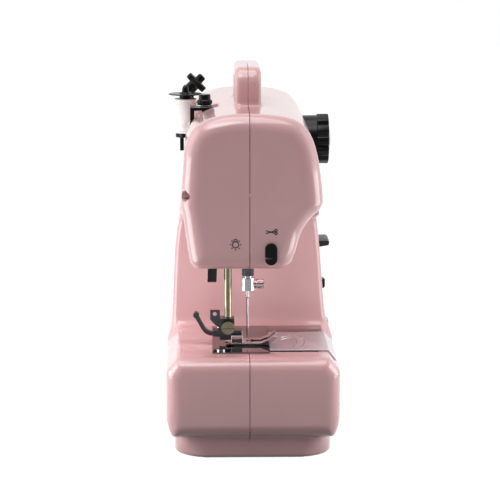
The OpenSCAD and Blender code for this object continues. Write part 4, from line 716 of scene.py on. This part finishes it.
def sharpen(p, f, g, near, least=0.15, reach=1.6):
    """Moves points that lie close to two surfaces on to the line where they cross: the shortest move that
    meets both. Points stay where the surfaces run nearly alike (by least) or the move passes reach * near."""
    a, b = f(p), g(p)
    pick = (np.abs(a) < near) & (np.abs(b) < near)
    q, start = p[pick], p[pick]
    for _ in range(3):
        u, v = gradient(f, q), gradient(g, q)
        fa, fb = f(q), g(q)
        uu, vv, uv = (u * u).sum(-1), (v * v).sum(-1), (u * v).sum(-1)
        det = uu * vv - uv * uv
        ok = det > least
        det = np.where(ok, det, 1)
        s, t = (fa * vv - fb * uv) / det, (fb * uu - fa * uv) / det
        q = q - np.where(ok[:, None], s[:, None] * u + t[:, None] * v, 0)
    moved = np.linalg.norm(q - start, axis=1)
    p = p.copy()
    p[pick] = np.where((moved < reach * near)[:, None], q, start)
    return p


class SEWING_OT_housing(bpy.types.Operator):
    """Builds the two pink mouldings from their outlines"""

    bl_idname = "sewing.housing"
    bl_label = "Housing"

    def execute(self, context):
        form, step = Housing(), look().cell / MM
        half_gap = look().seam_gap / MM / 2
        # Margins of the grid at the ends and underside, at front and back, on top and past the seam
        ends, sides, above, over = 2.2, 3.0, 2.5, 2.3
        # The seam's joint closes towards the foot of the plinth, where the floor would shine through it
        shut_from, shut_over, shut_to = BASE - 4, 4.0, 0.1
        halves = ((-1, "front_moulding", "front_housing"), (1, "rear_moulding", "rear_housing"))
        for side, name, node in halves:
            def plane(p, side=side):
                """The side of the seam that this half keeps, less half the joint."""
                share = np.clip((p[..., 2] - shut_from) / shut_over, shut_to, 1)
                return side * (SEAM - p[..., 1]) + half_gap * share

            def solid(p):
                """Everything but the holes."""
                return -form.openings(p)

            def whole(p):
                """This half: the wall without its holes, on its side of the seam."""
                return np.maximum(np.maximum(form.shell(p), solid(p)), plane(p))

            y0, y1 = (-HALF - sides, SEAM + over) if side < 0 else (SEAM - over, HALF + sides)
            lo, hi = (LEFT - ends, y0, FOOT - ends), (RIGHT + ends, y1, TOP + above)
            shape = [int((b - a) / step) + 2 for a, b in zip(lo, hi)]
            verts, quads = net(whole, lo, step, shape)
            verts = settle(verts, whole)
            near = 0.62 * step
            verts = sharpen(verts, form.shell, solid, near)
            verts = sharpen(verts, form.shell, plane, near)
            me = bpy.data.meshes.new(name)
            me.vertices.add(len(verts))
            me.vertices.foreach_set("co", (verts * MM).astype(np.float32).ravel())
            me.loops.add(quads.size)
            me.loops.foreach_set("vertex_index", quads.astype(np.int32).ravel())
            me.polygons.add(len(quads))
            me.polygons.foreach_set("loop_start", np.arange(0, quads.size, 4, dtype=np.int32))
            me.update(calc_edges=True)
            me.validate()
            dress(name, me, "machine", finishes()["pink"], (node,), 38)
        return {"FINISHED"}


class SEWING_OT_inner(bpy.types.Operator):
    """Gives every solid that stays in view its real finish"""

    bl_idname = "sewing.inner"
    bl_label = "Inner works"

    def execute(self, context):
        f = finishes()
        groups = {
            "steel": "screws pivot_pins main_shaft needle_crank lower_shaft needle_bar needle take_up_lever "
                     "feed_dog hook tension_discs motor",
            "gunmetal": "cutter_blade", "cast": "main_frame base_frame", "bronze": "bushes",
            "rubber": "timing_belt drive_belt", "brassy": "presser_bar",
            "acetal": "upper_pulley drive_wheel lower_gear lower_pulley motor_pulley crown_gear pattern_cam",
            "black": "bobbin_case", "grey": "dial_cap", "board": "circuit_boards", "clear": "bobbin"}
        for key, names in groups.items():
            for n in names.split():
                me = frame["nodes"][n].data
                me.materials.clear()
                me.materials.append(f[key])
        return {"FINISHED"}


class SEWING_OT_dials(bpy.types.Operator):
    """Turns the handwheel with its finger grooves, the pattern dial with its lobes and the winder's disc"""

    bl_idname = "sewing.dials"
    bl_label = "Handwheel and dial"

    def execute(self, context):
        f = finishes()
        # Handwheel: hub, rim with shallow grooves, raised ring and dished face
        rim, grooves, groove_deep = 33.0, 24, 1.1
        profile = rounded([[0, -6], [6, -6], [6, 0], [rim - 2, 0], [rim, 2], [rim, 13.4], [29.2, 15.6],
                           [28.4, 19], [23.6, 19], [22.4, 14.6], [10.4, 14.2], [9.4, 17], [0, 17.2]], 1.5)

        def groove(a, h, r):
            """Narrow valleys round the rim: a cosine to the sixth power, fading out inwards."""
            return -groove_deep * np.cos(grooves * a / 2) ** 6 * np.clip((r - rim + 2) / 1.2, 0, 1)

        wheel = turned(profile, (RIGHT + 2, *SHAFT[1:]), (1, 0, 0), 288, groove)
        merged("handwheel_grooved", wheel, f["pink"], "handwheel", True)

        # Pattern dial: plain drum, then a wider grip whose edge swells in lobes, and a flat face with a rim
        drum, lobes, lobe_deep = 11.4, 12, 1.9
        profile = rounded([[0, 0.3], [17.8, 0.3], [18, drum - 0.1], [18.9, drum + 0.3], [19, 20.1],
                           [16.6, 20.6], [15.4, 20.0], [0, 20.0]], 0.5)

        def lobe(a, h, r):
            """Narrow valleys between lobes: a sine to the eighth power, on the grip's edge only."""
            on_grip = np.clip((h - drum) / 0.3, 0, 1) * np.clip((r - 14) / 3, 0, 1)
            return -lobe_deep * np.sin(lobes * a / 2) ** 8 * on_grip

        dial = turned(profile, (DIAL[0], DIAL_BACK, DIAL[2]), (0, -1, 0), 240, lobe)
        merged("pattern_dial_lobed", dial, f["black"], "pattern_dial", True)

        # Bobbin winder: a thick disc with a finely milled edge, and a short stub for the bobbin
        disc, teeth, tooth_deep = 8.45, 48, 0.14
        profile = rounded([[0, -9.4], [2, -9.4], [2, -1.9], [8.2, -1.9], [disc, -1.4], [disc, 2.2],
                           [8.1, 2.7], [4.4, 2.7], [3.3, 3.1], [3.2, 6.6], [2.4, 7.5], [0, 7.5]], 0.4)

        def mill(a, h, r):
            """Fine teeth: a cosine round the disc's edge."""
            return tooth_deep * np.cos(teeth * a) * np.clip((r - 8) / 0.3, 0, 1)

        winder = turned(profile, WINDER, (0, -1, 1), 192, mill)
        merged("winder_disc", winder, f["black"], "winder_spindle", True)
        return {"FINISHED"}


class SEWING_OT_thread(bpy.types.Operator):
    """Winds the thread on the spool"""

    bl_idname = "sewing.thread"
    bl_label = "Spool thread"

    def execute(self, context):
        # Heights over the spool's foot, radius under and over the thread, and rows of points a turn
        low, high, core, full, rows = 1.65, 24.35, 5.05, 7.45, 7
        # Height of a turn's round, and height and waves of the uneven laying
        round_turn, uneven, wave = 0.16, 0.1, 0.8
        pitch = look().thread_pitch / MM
        h = np.linspace(low, high, int((high - low) / pitch * rows))
        wound = np.stack([np.full(len(h), full), h], 1)
        profile = np.concatenate([[[core, low]], wound, [[core, high], [core, low]]])

        def turn(a, h, r):
            """Turns as one screw line: a cosine of height and angle, on a slow wave along the height."""
            laid = round_turn * np.cos(2 * np.pi * h / pitch - a) + uneven * np.sin(h * wave)
            return np.where(r > (core + full) / 2, laid, 0)

        winding = turned(profile, SPOOL, (0, 0, 1), 60, turn)
        merged("thread_winding", winding, finishes()["thread"], "spool_thread", True)
        return {"FINISHED"}


class SEWING_OT_fittings(bpy.types.Operator):
    """Rounds the edges of the small fittings, and adds the bed plate's far end and the slide plate's grip"""

    bl_idname = "sewing.fittings"
    bl_label = "Fittings"

    def execute(self, context):
        f = finishes()
        # Finish and edge radius in mm of each fitting
        for node, key, edge in (
                ("thread_cutter", "black", 0.6), ("presser_foot", "chrome", 0.3),
                ("foot_shank", "gunmetal", 0.35), ("foot_release_lever", "gunmetal", 0.5),
                ("foot_screw", "brassy", 0.4), ("needle_clamp", "steel", 0.35),
                ("needle_clamp_screw", "steel", 0.25), ("needle_plate", "mirror", 0.25),
                ("slide_plate", "brushed", 0.3), ("reverse_lever", "soft_black", 0.7),
                ("power_rocker", "black", 0.6), ("speed_slider", "black", 0.5), ("spool", "white", 0.4),
                ("spool_pin", "black", 0.3), ("spool_cap", "black", 0.25), ("tension_bracket", "black", 0.4),
                ("tension_knob", "black", 0.25), ("winder_bracket", "black", 0.5),
                ("rubber_feet", "rubber", 0.4), ("sockets", "black", 0.3), ("lamp_lens", "lens", 0.4),
                ("needle_guide_sleeve", "black", 0.3)):
            softened(node, node + "_eased", f[key], edge)
        # The presser lifter ends this far below the head
        lifter_end = 16.2
        softened("presser_lifter", "presser_lifter_eased", f["black"], 0.6, floor=HEAD_Z - lifter_end)

        # The presser spring, eased with one thin bevel, keeps a mesh of its own
        spring = softened("presser_spring", "presser_spring_coil", f["spring"], 0.02, segments=1, angle=80)
        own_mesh(spring)

        # Far end of the bed plate, from the slide plate's end to the needle plate's
        gap, front, corner, edge = 0.6, -52.8, 1.5, 0.25
        slide_x, slide_y = corners("slide_plate")[1, :2]
        ends = slide_x + gap, corners("needle_plate")[1, 0]
        plate = slab(round_rect(*ends, front, slide_y, corner), BED + 0.03, PLATE, edge)
        merged("plate_far_end", plate, f["mirror"], "needle_plate")

        # Two long grip lines on the slide plate, bowed towards the operator by a parabola
        middle, half, bow, width, lift, thick = -74.0, 20.0, 3.4, 0.7, 0.1, 0.12
        x, lines = np.linspace(middle - half, middle + half, 25), []
        for y in (-29.0, -34.6):
            line = np.stack([x, y - bow * (1 - ((x - middle) / half) ** 2)], 1)
            v, q = stroke(line, width, PLATE + lift, -thick)
            lines.append((v[:, [1, 2, 0]], q))
        merged("slide_grip_lines", joined(*lines), f["chrome"], "slide_plate")
        return {"FINISHED"}


class SEWING_OT_prints(bpy.types.Operator):
    """Prints the lamp and scissors signs on the head"""

    bl_idname = "sewing.prints"
    bl_label = "Printed signs"

    def execute(self, context):
        ink, line, x = finishes()["ink"], 0.72, HEAD_X0 + 0.02
        # Lamp: a hanging bulb, its cap above and rays round the rest
        c, bulb, cap = np.array([12.4, 154.2]), 2.15, 1.15
        lamp = [arc(c, bulb, 0, 360, 32), arc(c + [0, bulb + 0.5], cap, -20, 200, 16)]
        rays = bulb + 0.9, bulb + 1.9
        lamp += [np.array([arc(c, r, a, a, 1)[0] for r in rays]) for a in range(135, 406, 45)]
        merged("lamp_sign", joined(*[stroke(path, line, x) for path in lamp]), ink)
        # Scissors: two finger rings and two blades that cross
        c, ring = np.array([-12.3, 163.0]), 0.85
        cut = [arc(c + [-3.2, s * 1.05], ring, 0, 360, 24) for s in (-1, 1)]
        cut += [np.array([c + [-2.4, s * 0.8], c + [0.2, 0.1 * s], c + [3.8, -1.1 * s]]) for s in (-1, 1)]
        merged("scissors_sign", joined(*[stroke(path, line, x) for path in cut]), ink)
        return {"FINISHED"}


# Stage, in metres


def set_camera(scene):
    """A 148 mm lens a little above the arm, looking along the machine from the needle end."""
    cam = bpy.data.cameras.new("view")
    cam.lens, cam.sensor_width, cam.clip_end = 148.25, 36.0, 20.0
    yaw, pitch, distance = math.radians(1.15), math.radians(9.62), 1.42
    ahead = Vector((math.cos(pitch) * math.cos(yaw), -math.cos(pitch) * math.sin(yaw), -math.sin(pitch)))
    scene.camera = ob = placed("view", cam)
    ob.location = Vector((LEFT * MM, SEAM * MM, 0.151)) - ahead * distance
    ob.rotation_euler = ahead.to_track_quat("-Z", "Y").to_euler()


def set_lamps():
    """Large lamps left, right and above, two near strips that reach into the throat, and the machine's own
    lamp under the head, which lights the pillar and shows in no reflection."""
    middle, pillar = (0, 0, 0.13), (PILLAR * MM, 0, 0.112)
    for name, at, aim, size, power in (
            ("left", (0.0, 1.5, 0.7), middle, 1.3, 7),
            ("right", (0.1, -1.5, 0.7), middle, 1.3, 4),
            ("above", (-0.25, 0.2, 1.7), middle, 1.4, 16),
            ("camera_side", (-0.9, 0.5, 1.8), middle, 0.8, 7.5),
            ("left_strip", (-0.125, 0.3, 0.11), middle, 0.2, 0.5),
            ("right_strip", (-0.125, -0.3, 0.11), middle, 0.2, 0.45),
            ("work_lamp", (-0.1, 0.008, 0.122), pillar, 0.02, 0.05)):
        lamp = bpy.data.lights.new(name, "AREA")
        lamp.energy, lamp.size = power * look().light, size
        ob = placed(name, lamp)
        ob.location = at
        ob.visible_camera = False
        ob.visible_glossy = name != "work_lamp"
        ob.rotation_euler = (Vector(aim) - Vector(at)).to_track_quat("-Z", "Y").to_euler()


def set_world(scene):
    """White to the camera. Reflections and plain light find the needle end's side darker, so that the
    head's middle stays deeper than its rounded rim."""
    scene.world, t = fresh(bpy.data.worlds, "studio")
    ray = add(t, "LightPath").outputs
    seen = add(t, "Math", links={0: ray["Is Camera Ray"], 1: ray["Is Glossy Ray"]}, operation="MAXIMUM")
    seen = add(t, "Math", links={0: seen.outputs[0], 1: ray["Is Transmission Ray"]}, operation="MAXIMUM")
    at = add(t, "SeparateXYZ", links={0: add(t, "TexCoord").outputs["Generated"]})
    shade = add(t, "MapRange", {"From Min": -0.95, "From Max": -0.1, "To Min": 0.12, "To Max": 1.0},
                {"Value": at.outputs["X"]}).outputs["Result"]
    dim = add(t, "Math", {1: 0.32}, {0: shade}, operation="MULTIPLY")
    bright = add(t, "Math", links={0: shade, 1: ray["Is Camera Ray"]}, operation="MAXIMUM")
    fill = add(t, "Background", {"Color": (0.97, 0.98, 1.0, 1)}, {"Strength": dim.outputs[0]})
    white = add(t, "Background", {"Color": (1, 1, 1, 1)}, {"Strength": bright.outputs[0]})
    mix = add(t, "MixShader", links={0: seen.outputs[0], 1: fill.outputs[0], 2: white.outputs[0]})
    t.links.new(mix.outputs[0], add(t, "OutputWorld").inputs["Surface"])


def set_floor():
    """Paper, white to the camera. Reflections find it darker before the needle end, as they do the world,
    and a painted shadow darkens it close round the machine, so that little light comes up under the base."""
    paper, t = fresh(bpy.data.materials, "pale_paper")
    ray = add(t, "LightPath").outputs
    at = add(t, "SeparateXYZ", links={0: add(t, "TexCoord").outputs["Object"]})
    shade = add(t, "MapRange", {"From Min": -0.17, "From Max": -0.1, "To Min": 0.12, "To Max": 1.0},
                {"Value": at.outputs["X"]})
    gloss = add(t, "Math", links={0: ray["Is Glossy Ray"], 1: shade.outputs["Result"]}, operation="MULTIPLY")
    seen = add(t, "Math", links={0: ray["Is Camera Ray"], 1: gloss.outputs[0]}, operation="MAXIMUM")
    seen = add(t, "Math", links={0: seen.outputs[0], 1: ray["Is Transmission Ray"]}, operation="MAXIMUM")
    part = add(t, "Math", {1: 0.86}, {0: seen.outputs[0]}, operation="MULTIPLY")
    # Distance from the middle, as a share of the machine's own reach along X and Y
    sides = [add(t, "Math", {1: 1 / reach}, {0: at.outputs[k]}, operation="MULTIPLY")
             for k, reach in (("X", CAD_BOX[1][0]), ("Y", HALF * MM))]
    sides = [add(t, "Math", links={0: n.outputs[0]}, operation="ABSOLUTE").outputs[0] for n in sides]
    away = add(t, "Math", links=dict(enumerate(sides)), operation="MAXIMUM")
    # Painted shadow round the machine: the paper's colour falls from 0.5 far off to 0.05 close in
    painted_shade_tone = add(t, "MapRange", {"From Min": 1.2, "From Max": 1.65, "To Min": 0.05, "To Max": 0.5},
               {"Value": away.outputs[0]})
    painted_shade_diffuse = add(t, "BsdfDiffuse", links={"Color": painted_shade_tone.outputs["Result"]})
    white = add(t, "Emission", {"Color": (1, 1, 1, 1), "Strength": 1.2})
    mix = add(t, "MixShader", links={0: part.outputs[0], 1: painted_shade_diffuse.outputs[0], 2: white.outputs[0]})
    t.links.new(mix.outputs[0], add(t, "OutputMaterial").inputs["Surface"])
    side = 4.0
    me = bpy.data.meshes.new("floor")
    square = [(-side, -side, 0), (side, -side, 0), (side, side, 0), (-side, side, 0)]
    me.from_pydata(square, [], [(0, 1, 2, 3)])
    me.materials.append(paper)
    floor = placed("floor", me)


class SEWING_OT_stage(bpy.types.Operator):
    """Pale floor, soft studio light and the camera"""

    bl_idname = "sewing.stage"
    bl_label = "Stage"

    def execute(self, context):
        scene = context.scene
        scene.view_settings.view_transform = "Standard"
        set_camera(scene)
        set_lamps()
        set_world(scene)
        set_floor()
        return {"FINISHED"}


class SEWING_PT_panel(bpy.types.Panel):
    """Lists the machine's settings and pieces"""

    bl_label = "Sewing machine"
    bl_idname = "SEWING_PT_panel"
    bl_space_type = "VIEW_3D"
    bl_region_type = "UI"
    bl_category = "Sewing"

    def draw(self, context):
        for name in SewingLook.__annotations__:
            self.layout.prop(context.scene.sewing_look, name)
        for op in OPERATORS:
            self.layout.operator(op.bl_idname)


OPERATORS = [SEWING_OT_stage, SEWING_OT_inner, SEWING_OT_housing, SEWING_OT_dials, SEWING_OT_thread,
             SEWING_OT_fittings, SEWING_OT_prints]
CLASSES = [SewingLook, *OPERATORS, SEWING_PT_panel]


def register():
    for c in CLASSES:
        bpy.utils.register_class(c)
    bpy.types.Scene.sewing_look = bpy.props.PointerProperty(type=SewingLook)


def unregister():
    del bpy.types.Scene.sewing_look
    for c in reversed(CLASSES):
        bpy.utils.unregister_class(c)


def main():
    """Builds the machine."""
    register()
    for op in OPERATORS:
        group, name = op.bl_idname.split(".")
        getattr(getattr(bpy.ops, group), name)()


if __name__ == "__main__":
    main()
